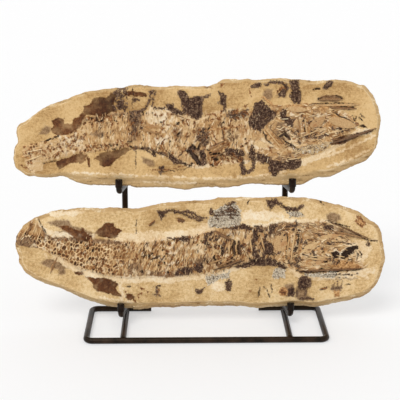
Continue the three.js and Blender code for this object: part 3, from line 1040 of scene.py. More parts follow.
def carve_slab(node, tier, look):
    """Builds one slab as a closed mesh with its marks stored on it, in place of its CAD solid."""
    seed, crown = look["seed"], np.array(look["crown"], dtype=float)
    rim, inward = slab_outline(look["outline"])
    count = len(rim)
    walked = np.arange(count) * RIM_STEP
    level = walked * 0
    chips = 0.95 * rough(walked, level, 6.0, seed + 41, 4) + 0.8 * ripple(walked, level, 17.0, seed + 43)
    lip_x = (UPRIGHT_X + ARM_SPLAY) / MM
    on_arms = 1 - soft_step(abs(abs(rim[:, 0]) - lip_x), 8, 16)
    on_arms *= rim[:, 1] < crown[1]
    unheld = 1 - on_arms
    rim = rim + inward * (chips * unheld)[:, None]
    rim[:, 1] = np.maximum(rim[:, 1], np.where(on_arms > 0.01, look["sag"] + 0.15, -99))

    low, high = rim.min(0), rim.max(0)
    coarse = rim[::3]
    fine_points, stone_points = hex_grid(low, high, BODY_STEP), hex_grid(low, high, STONE_STEP)
    fine_points = fine_points[body_depth(look, *fine_points.T) + 2.5 > 0]
    stone_points = stone_points[body_depth(look, *stone_points.T) + 2.5 < -0.8]
    inner = np.vstack((fine_points, stone_points))
    inner = inner[patch_depth(inner[:, 0], inner[:, 1], coarse) > 0.95]
    face_points = np.vstack((rim, inner))
    faces = fill_outline(rim, inner)
    across, up = face_points.T
    edge = np.maximum(patch_depth(across, up, coarse), 0)
    edge[:count] = 0
    layers = lay_marks(across, up, look["patches"], look["strokes"], seed)
    for name, drawn in look["specks"].items():
        for number, size, outline in drawn:
            scatter_specks(layers, name, across, up, outline, number, size, seed + number)
    for name, side, start, stop, inner, outer in look["bands"]:
        gap = height_along(look[side], across) - up
        gap = gap if side == "body_low" else -gap
        gap = gap + 1.4 * rough(across, up, 14.0, seed + 61)
        ends = 0.2 * np.minimum(across - start, stop - across)
        band = np.minimum(np.minimum(gap - inner, outer - gap), ends)
        layers[name] = np.maximum(layers[name], np.clip(band, -REACH, REACH))
    flank = look["flank"](across, up)
    height, body, bevel, streak = face_relief(across, up, edge, look, layers, flank)

    shelves = [(across, up, -height)]
    starts = [0, len(face_points)]
    lip = -height[:count]
    for share in WALL_RINGS:
        depth = lip + (RIM_DEPTH - lip) * share
        waist = math.sin(math.pi * min(share, 0.9))
        bite = 0.45 * (1 + rough(walked, depth * 2, 8.0, seed + 47)) * waist * unheld
        ring = rim + inward * bite[:, None]
        shelves.append((ring[:, 0], ring[:, 1] - look["sag"] * share, depth))
        starts.append(starts[-1] + count)
    for scale in BACK_RINGS:
        ring = crown + (rim - crown) * scale
        depth = RIM_DEPTH + DOME_DEPTH * math.sqrt(1 - scale * scale)
        shelves.append((ring[:, 0], ring[:, 1] - look["sag"] * scale, np.full(count, depth)))
        starts.append(starts[-1] + count)
    for first, second in zip([0] + starts[1:-2], starts[1:-1]):
        for i in range(count):
            k = (i + 1) % count
            faces.append((first + i, second + i, second + k, first + k))

    last_ring = crown + (rim - crown) * BACK_RINGS[-1]
    back_points = hex_grid(low, high, BACK_STEP)
    back_points = back_points[patch_depth(back_points[:, 0], back_points[:, 1], last_ring[::3]) > 1.6]
    turn = np.arctan2(rim[:, 1] - crown[1], rim[:, 0] - crown[0])
    order = np.argsort(turn)
    away = np.hypot(*(rim - crown).T)
    place = np.arctan2(back_points[:, 1] - crown[1], back_points[:, 0] - crown[0])
    radius = np.interp(place, turn[order], away[order], period=2 * math.pi)
    scale = np.clip(np.hypot(*(back_points - crown).T) / radius, 0, 0.999)
    hollow = 0.9 * (1 + rough(back_points[:, 0], back_points[:, 1], 26.0, seed + 53))
    hollow += 0.6 * rough(back_points[:, 0], back_points[:, 1], 9.0, seed + 59)
    hollow += 1.6 * soft_step(rough(back_points[:, 0], back_points[:, 1], 34.0, seed + 67), 0.05, 0.2)
    hollow *= soft_step(1 - scale, 0.03, 0.15)
    depth = RIM_DEPTH + DOME_DEPTH * np.sqrt(1 - scale * scale) - np.maximum(hollow, 0)
    shelves.append((back_points[:, 0], back_points[:, 1] - look["sag"] * scale, depth))
    base, ring_start = starts[-1], starts[-2]
    for face in fill_outline(last_ring, back_points):
        faces.append(tuple((i + ring_start if i < count else i - count + base) for i in reversed(face)))

    across_all, up_all, depth_all = (np.concatenate(parts) for parts in zip(*shelves))
    origin = np.array(tier_point(tier, 0, -FACE_DISTANCE * MM, ARM_CLEARANCE * MM))
    points = origin + MM * (
        across_all[:, None] * np.array((1, 0, 0))
        + up_all[:, None] * np.array(leaning_up) + depth_all[:, None] * np.array(leaning_back)
    )
    mesh = bpy.data.meshes.new(f"{node}_stone")
    mesh.from_pydata(points.tolist(), [], faces)
    more = len(points) - len(face_points)

    def padded(values, fill=0.0):
        return np.concatenate((values, np.full(more, fill)))

    store(mesh, "film", [padded(coverage(layers[name])) for name in LAYERS[:4]])
    store(mesh, "bone", [padded(coverage(layers[name])) for name in LAYERS[4:]])
    wall, tone, wall_tone, _ = flank
    store(mesh, "flank", [padded(wall), padded(tone), padded(coverage(body)), padded(wall_tone)])
    weather = np.concatenate((np.zeros(len(face_points)), soft_step(depth_all[len(face_points):], 0.5, 7.0)))
    store(mesh, "edge", [padded(bevel, 1.0), padded(streak, 0.5), weather, np.ones(len(points))])
    mesh.polygons.foreach_set("use_smooth", [True] * len(mesh.polygons))
    mesh.materials.append(stone_finish(f"{node}_limestone", look))
    slab = place_object(f"{node}_stone", mesh)
    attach(slab, "root")
    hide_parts(node)
    clear_of_lips = (up > LIP_CLEARANCE[1]) | (abs(abs(across) - lip_x) > LIP_CLEARANCE[0])
    dress_face(node, tier, look, across, up, height, layers, body, (edge > BITS_INSET) & clear_of_lips)


# ---------------------------------------------------------------- upper slab
# The first half of the nodule: the fish lies head to the right, its flank worn to pale scales and bone
# splinters. Dark skin stains, purple-brown crust and loose ribs lie round it; the foot is chiselled back.
# It rests on the upper pair of arms, behind their lips.


def upper_flank(across, up):
    """Small pitted cells at the tail, faint upright streaks on the flank, curved plates towards the head."""
    middle = body_middle(UPPER, across)
    leaning = across - 0.12 * (up - middle)
    tail_wall, tail_tone = cell_field(leaning / 4.4, (up - middle) / 4.6, 101)
    bent = leaning / 3.6 + 0.3 * rough(across, up, 9.0, 103)
    side_wall, side_tone = cell_field(bent, (up - middle) / 13.0, 105)
    head_wall, head_tone = flowing_bone(across, up, -0.35, 107)
    shift = across + 8 * rough(across, up, 12.0, 111)
    middle_band = 1 - soft_step(abs(up - middle - 2), 12, 18)
    tail = 1 - soft_step(shift + 46 * middle_band, -118, -102)
    head = soft_step(shift, 72, 92)
    side = 1 - tail - head
    wall = tail * tail_wall + side * side_wall + head * head_wall + 0.12 * rough(across, up, 3.4, 120)
    pitted = 1 - soft_step(tail_tone, 0.28, 0.4)
    tone = tail * (0.74 - 0.45 * pitted) + side * (0.5 + 0.34 * side_tone) + head * (head_tone + 0.1)
    tone += side * 0.26 * rough(across, up * 0.16, 2.3, 113) + 0.12 * rough(across, up, 20.0, 114)
    wall_tone = tail * (0.72 + 0.2 * rough(across, up, 8.0, 116))
    wall_tone += side * (0.62 + 0.3 * rough(across, up, 6.0, 117))
    wall_tone += head * 0.38
    ridge = tail * 0.5 + side * 0.3 - head * 0.45
    return wall, tone, wall_tone, ridge


def upper_lay(across, up):
    """How the splinters lie: mixed at the tail, upright on the flank, forward and winding in the head."""
    head = soft_step(across, 70, 95)
    tail = 1 - soft_step(across, -170, -150)
    upright = 1.5 - 0.35 * rough(across, up, 30.0, 131)
    winding = 0.9 * rough(across, up, 40.0, 135) * (1 - soft_step(across, 110, 170))
    forward = 0.25 * rough(across, up, 24.0, 133) + winding
    lay = upright * (1 - head) + forward * head
    return lay, 0.25 + 0.5 * tail + 0.15 * head, 5.0 - 2.0 * tail + 3.0 * head, 0.85 + 0.3 * head


UPPER_TAIL = [(-236, 30), (-214, 35), (-160, 50), (-156, 78), (-190, 66), (-236, 52)]
UPPER_FLANK = [(-60, 44), (60, 40), (60, 100), (-60, 98)]
UPPER_PATCHES = {
    # dark skin: behind the back fin, fin base, tail stalk, belly, tail, back-fin ray, lower jaw
    "stain": [
        [(-160, 97), (-158, 107), (-149, 112), (-145, 118), (-136, 119), (-128, 120), (-122, 125),
         (-116, 122), (-119, 112), (-118, 105), (-114, 101), (-124, 100), (-130, 95), (-145, 96)],
        [(-175, 84), (-172, 91), (-165, 94), (-161, 99), (-156, 98), (-159, 91), (-165, 79), (-171, 79)],
        [(-203, 76), (-199, 81), (-200, 89), (-193, 93), (-184, 91), (-183, 84), (-172, 85), (-164, 80),
         (-172, 74), (-182, 70), (-192, 69), (-200, 72)],
        [(-146, 37), (-137, 46), (-128, 49), (-118, 49), (-108, 53), (-98, 51), (-107, 44), (-117, 38),
         (-121, 33), (-125, 29), (-134, 28), (-139, 31), (-137, 35)],
        [(-196, 34), (-188, 39), (-180, 40), (-172, 44), (-163, 48), (-156, 43), (-158, 36), (-164, 31),
         (-172, 33), (-178, 31), (-184, 28), (-192, 25), (-195, 29)],
        [(-106, 127), (-95, 127), (-77, 125), (-77, 120), (-90, 120), (-105, 121)],
        [(160, 59), (169, 67), (188, 69), (205, 72), (222, 77), (205, 69), (190, 61), (179, 56), (167, 55)],
    ],
    # faint brown films over the flank and round the head
    "haze": [
        [(-218, 72), (-213, 78), (-208, 82), (-202, 81), (-202, 73), (-209, 70)],
        [(-100, 101), (-84, 102), (-83, 88), (-88, 78), (-90, 62), (-98, 62), (-97, 78)],
        [(-84, 41), (-77, 40), (-68, 36), (-67, 28), (-75, 29), (-82, 34)],
        [(-27, 53), (-18, 55), (-7, 50), (1, 40), (4, 32), (-6, 28), (-13, 34), (-20, 42)],
        [(-13, 80), (-4, 80), (1, 70), (7, 64), (2, 55), (-7, 55), (-9, 64), (-13, 70)],
        [(90, 76), (94, 86), (105, 84), (111, 74), (106, 63), (94, 63)],
        [(145, 114), (150, 120), (172, 121), (179, 116), (172, 112), (152, 112)],
        [(74, 118), (74, 126), (80, 130), (87, 128), (88, 120), (84, 115), (77, 114)],
        [(-44, 76), (-38, 80), (-30, 76), (-32, 66), (-40, 66)],
        [(-152, 70), (-142, 76), (-131, 74), (-134, 66)],
        [(26, 76), (40, 78), (44, 66), (34, 60), (26, 66)],
        [(133, 91), (141, 97), (150, 95), (160, 88), (158, 79), (146, 79), (136, 83)],
        [(92, 78), (98, 86), (106, 82), (108, 66), (94, 64)],
    ],
    # purple-brown iron crust, thickest over the back and under the gills
    "crust": [
        [(-35, 127), (-30, 129), (-25, 125), (-21, 119), (-15, 120), (-9, 120), (-3, 120), (-4, 106),
         (-6, 92), (-17, 91), (-24, 97), (-31, 102), (-30, 110), (-35, 117)],
        [(-53, 111), (-44, 111), (-40, 106), (-34, 102), (-24, 98), (-28, 94), (-40, 97), (-50, 103)],
        [(16, 126), (22, 125), (28, 121), (26, 112), (27, 101), (24, 100), (22, 109), (18, 110), (19, 119)],
        [(74, 115), (64, 112), (61, 103), (56, 92), (55, 83), (62, 77), (72, 74), (77, 81), (84, 89),
         (92, 92), (92, 101), (84, 104), (78, 109)],
        [(96, 101), (102, 103), (105, 102), (106, 94), (114, 88), (116, 80), (108, 79), (103, 86),
         (97, 92)],
        [(107, 140), (121, 141), (121, 132), (124, 125), (125, 115), (121, 111), (112, 111), (109, 118),
         (111, 129)],
        [(82, 37), (91, 36), (103, 34), (113, 38), (125, 38), (125, 27), (120, 24), (97, 22), (94, 14),
         (87, 14), (83, 22)],
        [(66, 47), (74, 45), (84, 40), (84, 32), (76, 30), (68, 36)],
        [(25, 51), (35, 52), (48, 50), (52, 43), (46, 38), (36, 40), (27, 43)],
        [(-50, 48), (-45, 44), (-38, 38), (-34, 33), (-40, 30), (-46, 35), (-49, 41)],
        [(-9, 50), (-3, 52), (1, 44), (2, 33), (-3, 29), (-8, 32), (-4, 40)],
        [(-27, 50), (-20, 54), (-12, 52), (-16, 47), (-23, 45)],
        [(-61, 28), (-55, 29), (-54, 25), (-59, 17), (-62, 20)],
        [(-115, 117), (-106, 116), (-106, 104), (-114, 104)],
        [(151, 130), (154, 137), (160, 141), (165, 138), (164, 132), (158, 129)],
        [(92, 118), (94, 124), (99, 130), (105, 127), (104, 118), (99, 120)],
        [(62, 131), (64, 137), (72, 138), (72, 133)],
        [(56, 40), (58, 50), (62, 58), (65, 46), (66, 36), (60, 36)],
        [(-95, 117), (-92, 118), (-84, 117), (-86, 114), (-93, 113)],
    ],
    # grey calcite grit
    "grit": [
        [(112, 50), (128, 54), (150, 58), (166, 61), (158, 50), (140, 44), (120, 44)],
        [(30, 96), (44, 98), (58, 100), (56, 92), (32, 91)],
    ],
    # rust spots
    "rust": [
        [(49, 106), (54, 109), (53, 105)], [(19, 137), (23, 137), (22, 131), (19, 132)],
    ],
    # pale chalky skin
    "cream": [
        [(-79, 98), (-72, 108), (-59, 105), (-50, 100), (-52, 87), (-73, 84), (-78, 91)],
        [(-28, 94), (-18, 96), (-17, 86), (-24, 84)],
        [(-236, 34), (-226, 38), (-215, 38), (-212, 32), (-217, 22), (-227, 19), (-235, 24)],
        [(54, 62), (76, 66), (92, 54), (84, 50), (66, 50), (54, 54)],
        [(-66, 66), (-52, 66), (-54, 56), (-64, 57)],
    ],
    # amber bone over and behind the eye
    "honey": [
        [(106, 107), (120, 109), (130, 106), (127, 100), (110, 100)],
        [(150, 78), (163, 90), (167, 98), (178, 91), (191, 84), (180, 81)],
    ],
    # hollows
    "ink": [
        [(92, 65), (94, 70), (99, 71), (104, 74), (107, 69), (109, 66), (105, 66), (100, 70), (96, 64)],
        [(178, 88), (184, 87), (191, 84), (188, 81), (180, 83)],
    ],
}
# Each stroke is its width and its path.
UPPER_STROKES = {
    # cracks, the loose black rod, jaw and lens outlines, scratches before the snout
    "ink": [
        (6.4, (-21, 49), (-8, 31)), (3, (6, 46), (13, 44)), (3, (15, 45), (21, 43)),
        (3.8, (9, 40), (16, 37)), (2.6, (7, 30), (10, 28)), (2.4, (1, 51), (5, 50)),
        (0.9, (-94, 130), (-95, 104)), (0.9, (-92, 48), (-92, 25)), (4.4, (203, 80), (210, 79)),
        (1.5, (140, 110), (168, 110), (196, 109)), (2.4, (175, 107), (186, 103), (193, 105)),
        (2, (167, 98), (181, 91), (193, 83), (185, 81)), (1.3, (191, 95), (194, 88), (198, 94)),
        (1.3, (200, 90), (203, 96), (208, 92)), (1.3, (203, 92), (206, 87)),
        (2, (164, 57), (180, 60), (197, 68), (223, 76)), (1.6, (223, 76), (210, 74), (200, 70)),
        (1.6, (74, 74), (80, 64), (88, 56)), (2, (146, 117), (151, 116)),
        (1.8, (124, 96), (130, 85), (130, 73)), (2, (149, 91), (153, 86)),
        (1.6, (101, 64), (111, 56), (124, 49)), (1.5, (-215, 61), (-203, 65), (-191, 69)),
        (1.5, (-212, 33), (-204, 35), (-195, 37)), (2, (170, 120), (178, 115)), (3, (141, 129), (148, 129)),
        (1, (-60, 20), (-40, 22), (-20, 26)),
    ],
    # skin lines
    "stain": [
        (1.6, (149, 117), (155, 120), (172, 120), (179, 116)), (3.4, (-156, 44), (-152, 28)),
    ],
    # beaded loops over the back and below the belly, the eye
    "crust": [
        (4, (78, 134), (83, 138), (99, 138), (105, 132), (103, 125), (93, 119)),
        (3.2, (-72, 121), (-72, 126), (-66, 127), (-66, 121)),
        (3.4, (-72, 119), (-75, 111), (-78, 104), (-88, 101), (-97, 99)),
        (3, (-68, 120), (-69, 107), (-62, 104), (-53, 105)), (5, (60, 132), (65, 135), (72, 137)),
        (6, (138, 87), (144, 87)), (2.4, (-97, 51), (-87, 52)), (3, (-85, 51), (-78, 50), (-73, 48)),
        (4, (-70, 46), (-66, 42)), (2.8, (-61, 47), (-53, 45)), (2.4, (-36, 40), (-31, 47), (-24, 50)),
        (3, (-40, 33), (-28, 33)), (6.5, (48, 39), (48, 30), (50, 19), (58, 20)),
        (4.4, (56, 19), (63, 26), (63, 36), (60, 42)), (3, (-2, 120), (5, 121)),
    ],
    # rust-brown splinters and arches
    "rust": [
        (3, (92, 124), (98, 130), (103, 131)), (1.2, (-72, 24), (-50, 23), (-34, 28), (-18, 31)),
        (1.6, (-34, 44), (-28, 51), (-20, 55)), (1.6, (56, 130), (60, 120)), (3, (19, 38), (25, 37)),
        (3, (28, 37), (32, 34)), (2.8, (35, 36), (38, 32)), (2.6, (80, 56), (84, 50), (87, 46)),
        (2, (0, 94), (8, 98), (15, 94)), (2, (6, 88), (13, 92), (21, 89)),
        (1.8, (21, 84), (24, 69), (23, 61)), (1.8, (8, 78), (11, 67), (16, 61)),
        (1.8, (33, 90), (40, 93), (45, 89)), (2.6, (20, 135), (24, 136)),
        (1.6, (-1, 131), (4, 132), (9, 129)), (2.2, (51, 108), (53, 108)),
        (2, (-244, 31), (-234, 28), (-229, 24)), (1.6, (129, 106), (136, 108), (144, 110)),
        (1.8, (191, 109), (195, 107)),
    ],
    # bones: jaw, cheek, ribs, spine
    "honey": [
        (2.4, (141, 102), (156, 105), (175, 107), (192, 105)), (3, (-1, 76), (25, 78), (51, 81)),
        (2.6, (7, 44), (19, 51), (28, 57)), (2.4, (4, 49), (13, 53), (21, 59)), (2.2, (10, 39), (21, 45)),
        (2.4, (-84, 83), (-73, 80), (-54, 79)), (2, (-82, 76), (-66, 73), (-56, 72)),
        (3, (-243, 42), (-235, 41), (-229, 38)), (2.2, (75, 80), (82, 68), (91, 58), (100, 52)),
        (2.2, (80, 81), (87, 69), (95, 61), (104, 56)), (3, (119, 91), (123, 82), (122, 70), (126, 60)),
        (2.6, (128, 95), (135, 86), (136, 75), (131, 64)), (3, (73, 119), (81, 115), (87, 108)),
    ],
    # pale streaks in the stone
    "cream": [
        (3, (111, 54), (124, 58), (139, 66)), (3.6, (150, 38), (178, 47), (205, 58), (222, 67)),
        (3.6, (160, 27), (190, 35), (214, 48)), (3, (-70, 7), (-40, 5), (-12, 6)),
        (2.4, (-178, 20), (-139, 19), (-80, 16), (-8, 12), (52, 13), (104, 20)),
    ],
}
# Each scatter of specks is their number, their size and the outline they lie in.
UPPER_SPECKS = {
    "rust": [
        (70, 2, UPPER_TAIL), (46, 2, [(-158, 80), (-158, 94), (-100, 99), (-100, 86)]),
        (34, 2, [(-158, 47), (-100, 53), (-100, 62), (-158, 58)]), (80, 2.6, UPPER_FLANK),
        (12, 2.8, [(18, 93), (62, 98), (62, 104), (18, 100)]),
        (40, 2.2, [(-150, 52), (-60, 50), (-60, 98), (-150, 92)]),
        (26, 4, [(2, 30), (48, 32), (46, 40), (4, 52)]),
    ],
    "cream": [
        (90, 3, UPPER_TAIL), (70, 4, [(-60, 40), (70, 38), (70, 100), (-60, 96)]),
        (50, 4.4, [(100, 50), (200, 75), (190, 100), (110, 100)]),
        (26, 1.6, [(58, 78), (90, 90), (80, 106), (62, 108)]),
    ],
    "ink": [
        (23, 1.4, [(-158, 80), (-158, 92), (-100, 99), (-60, 100), (-60, 92), (-100, 90)]),
        (25, 1.6, [(-158, 46), (-100, 52), (-50, 40), (-46, 50), (-100, 62), (-158, 58)]),
        (26, 1.8, UPPER_FLANK), (12, 3, [(-28, 28), (2, 30), (-6, 56), (-26, 56)]),
    ],
    "crust": [
        (44, 2.6, [(100, 50), (190, 75), (190, 90), (110, 95)]),
        (34, 2.4, [(-100, 68), (-84, 70), (-82, 100), (-98, 100)]),
        (34, 3, [(-120, 102), (-104, 102), (-100, 131), (-118, 131)]),
        (16, 3.4, [(-8, 54), (4, 56), (0, 80), (-12, 80)]),
        (18, 3.4, [(28, 91), (58, 92), (58, 100), (28, 99)]),
    ],
}
UPPER = {
    "seed": 7, "crown": (9, 68), "sag": 2.6, "flank": upper_flank, "body_swell": 1.2, "ink_depth": 1.7,
    "top_bevel": 4, "bevel_drop": 6.5, "lay": upper_lay, "splinters": 820, "flakes": 54,
    # The arris value sets how strong the painted highlight along the bevel's edge is.
    "tail_span": (-172, -150), "head_span": (74, 96), "arris_highlight": 0.45, "crust_grains": 1700,
    "calcite_grains": 90,
    "outline": [
        (-125, 130), (-151, 127), (-167, 122), (-182, 116), (-206, 108), (-219, 100), (-233, 88),
        (-243, 83), (-247, 74), (-246, 61), (-251, 49), (-250, 30), (-244, 23), (-236, 17), (-225, 16),
        (-213, 14), (-201, 15), (-188, 16), (-177, 10), (-163, 5), (-147, 4), (-119, 3), (-99, 1), (-59, 0),
        (-44, -1), (-26, -3), (-11, 0), (10, 0), (25, -1), (40, 1), (60, 5), (80, 3), (105, 2), (120, 2),
        (131, 4), (147, 13), (162, 13), (174, 17), (200, 30), (213, 35), (222, 47), (226, 58), (229, 85),
        (227, 99), (220, 117), (208, 132), (200, 134), (189, 138), (169, 141), (134, 140), (100, 143),
        (65, 141), (50, 142), (25, 141), (12, 136), (0, 133), (-38, 133), (-58, 132), (-82, 135),
        (-98, 134), (-104, 132),
    ],
    "body_low": [
        (-238, 41), (-224, 37), (-213, 36), (-191, 41), (-158, 46), (-138, 50), (-102, 53), (-73, 50),
        (-47, 39), (-27, 32), (-8, 28), (12, 32), (45, 36), (74, 32), (104, 32), (124, 40), (150, 48),
        (166, 58), (183, 68), (198, 80),
    ],
    "body_high": [
        (-238, 54), (-215, 61), (-191, 69), (-170, 79), (-158, 93), (-138, 96), (-118, 100), (-97, 100),
        (-79, 98), (-70, 105), (-53, 102), (-33, 94), (-7, 90), (12, 98), (32, 101), (55, 99), (73, 107),
        (97, 108), (123, 111), (149, 108), (172, 103), (186, 95), (198, 85),
    ],
    "bevel_line": [
        (-260, 8), (-189, 21), (-139, 19), (-100, 17), (-80, 17), (-44, 13), (-8, 12), (52, 13), (78, 17),
        (104, 19), (139, 22), (164, 25), (183, 32), (203, 40), (213, 46), (240, 60),
    ],
    "step_drop": 2.4, "step_span": (112, 150),
    "step_line": [
        (120, 37), (136, 42), (148, 45), (161, 51), (180, 59), (200, 70), (223, 76), (235, 80),
    ],
    # layer, side, from, to, inner and outer distance from the line of the belly or the back
    "bands": [
        ("cream", "body_low", -40, 60, -1.5, 3), ("cream", "body_high", -60, 40, -1.5, 3),
        ("cream", "body_low", 120, 215, 3, 12), ("crust", "body_low", -96, -30, -2.6, 0),
        ("haze", "body_high", -160, -100, -5, -1), ("haze", "body_low", 60, 150, -9, -2),
    ],
    # from, to, thickness, roll and tone: jaw, bones before and over the eye, ribs, loose rods
    "long_bones": [
        (160, 56, 224, 77, 3.6, 0.4, 0.2), (138, 108, 201, 108, 3, 0, 0.62),
        (158, 105, 197, 103, 3.4, 0, 0.3), (147, 116, 178, 116, 4, 3.1, 0.34),
        (138, 66, 186, 77, 1.5, 0, 0.78), (118, 64, 158, 80, 1.3, 0.5, 0.7),
        (74, 82, 101, 50, 1.8, 0, 0.72), (79, 83, 106, 54, 1.6, 0, 0.3), (85, 84, 112, 58, 1.6, 0, 0.7),
        (-21, 50, -7, 29, 4.6, 0, 0.02), (4, 43, 30, 59, 2.4, 0, 0.34), (2, 49, 24, 61, 2, 0.4, 0.42),
        (8, 38, 24, 47, 2, 0, 0.26), (-86, 84, -54, 79, 2.6, 0, 0.5), (-84, 77, -60, 72, 2, 0, 0.44),
        (20, 86, 24, 60, 1.6, 0, 0.2), (36, 92, 38, 64, 1.6, 0, 0.66), (44, 90, 48, 66, 1.6, 0, 0.6),
        (54, 88, 62, 60, 2, 0, 0.7), (-40, 96, -20, 70, 2, 0, 0.7), (128, 98, 134, 62, 2.2, 0, 0.66),
        (120, 94, 124, 62, 2.2, 0, 0.4), (95, 66, 105, 72, 3.2, 0, 0.03), (103, 72, 112, 63, 3, 3.1, 0.03),
        (6, 54, 30, 64, 1.6, 0, 0.2), (12, 40, 34, 52, 1.6, 0, 0.24), (26, 45, 42, 36, 1.6, 0, 0.28),
        (30, 44, 46, 34, 1.6, 0, 0.6), (-12, 62, 4, 70, 2.4, 0, 0.2), (-46, 98, -28, 92, 2, 0, 0.3),
        (-236, 36, -214, 44, 2, 0, 0.8), (-234, 48, -212, 52, 2, 0, 0.84),
    ],
    "plates": [
        (160, 90, 197, 80, 13, 0, 0.56), (106, 104, 132, 102, 8, 0, 0.6), (112, 80, 128, 92, 9, 0, 0.6),
        (136, 80, 156, 92, 11, 0, 0.5), (88, 62, 104, 72, 8, 0, 0.66), (60, 60, 84, 54, 9, 0, 0.72),
    ],
    "patches": UPPER_PATCHES, "strokes": UPPER_STROKES, "specks": UPPER_SPECKS,
    "colours": {
        "stone_dark": (168, 130, 82), "stone": (204, 167, 113), "stone_pale": (222, 188, 136),
        "stone_speck": (150, 110, 66), "bevel_dark": (138, 107, 66), "bevel": (200, 167, 119),
        "bevel_pale": (240, 218, 178), "grit": (206, 178, 136), "grit_dark": (104, 78, 56),
    },
}
carve_slab("upper_slab", "upper", UPPER)

# ---------------------------------------------------------------- lower slab
# The other half of the nodule: the same fish from its other side, cut back round its edge so that it stands
# out. Its flank is a net of orange and brown cells; grey calcite grit and crust cling round the head.
# It rests on the lower pair of arms, behind their lips.


def lower_flank(across, up):
    """Rows of leaning cells by the tail, upright stripes on the flank, broken ribs and curved head plates."""
    middle = body_middle(LOWER, across)
    leaning = across - 0.32 * (up - middle)
    warp = 1.6 * rough(across, up, 8.0, 224)
    tail_wall, tail_tone = cell_field((leaning + warp) / 4.1, (up - middle + warp) / 6.4, 201)
    bent = leaning / 4.0 + 0.25 * rough(across, up, 9.0, 203)
    side_wall, side_tone = cell_field(bent, (up - middle) / 14.0, 205)
    head_wall, head_tone = flowing_bone(across, up, 0.2, 207)
    shift = across + 10 * rough(across, up, 12.0, 211)
    tail = 1 - soft_step(shift, -125, -95)
    head = soft_step(shift, 88, 104)
    side = 1 - tail - head
    fin = (1 - soft_step(shift, -220, -204)) * soft_step(up + 0.3 * shift, 36, 44)
    wall = tail * (tail_wall + 2 * fin) + side * side_wall + head * head_wall
    wall += 0.12 * rough(across, up, 3.4, 220)
    tone = tail * (0.06 + 0.46 * tail_tone) + side * (0.26 + 0.46 * side_tone) + head * (head_tone + 0.09)
    tone += fin * (0.34 + 0.3 * rough(across, up * 0.4, 2.6, 221)) + 0.16 * rough(across, up, 24.0, 223)
    tone += side * 0.3 * rough(across, up * 0.16, 2.3, 213)
    wall_tone = tail * (0.86 + 0.2 * rough(across, up, 9.0, 217))
    wall_tone += side * (0.7 + 0.3 * rough(across, up, 6.0, 219))
    wall_tone += head * 0.34
    ridge = tail * 0.7 + side * 0.5 - head * 0.5
    return wall, tone, wall_tone, ridge


def lower_lay(across, up):
    """How the splinters lie: leaning at the tail, nearly upright on the flank, drawn to the snout."""
    head = soft_step(across, 84, 112)
    tail = 1 - soft_step(across, -125, -95)
    upright = 1.25 + 0.35 * rough(across, up, 26.0, 231) + 0.3 * soft_step(across, -60, 60)
    winding = 0.8 * rough(across, up, 34.0, 233) * (1 - soft_step(across, 120, 175))
    forward = (66 - up) / 90 * soft_step(across, 130, 210) + winding
    lay = upright * (1 - head) + forward * head
    return lay, 0.22 + 0.1 * tail + 0.15 * head, 5.4 - 1.4 * tail + 3.0 * head, 0.85 + 0.3 * head


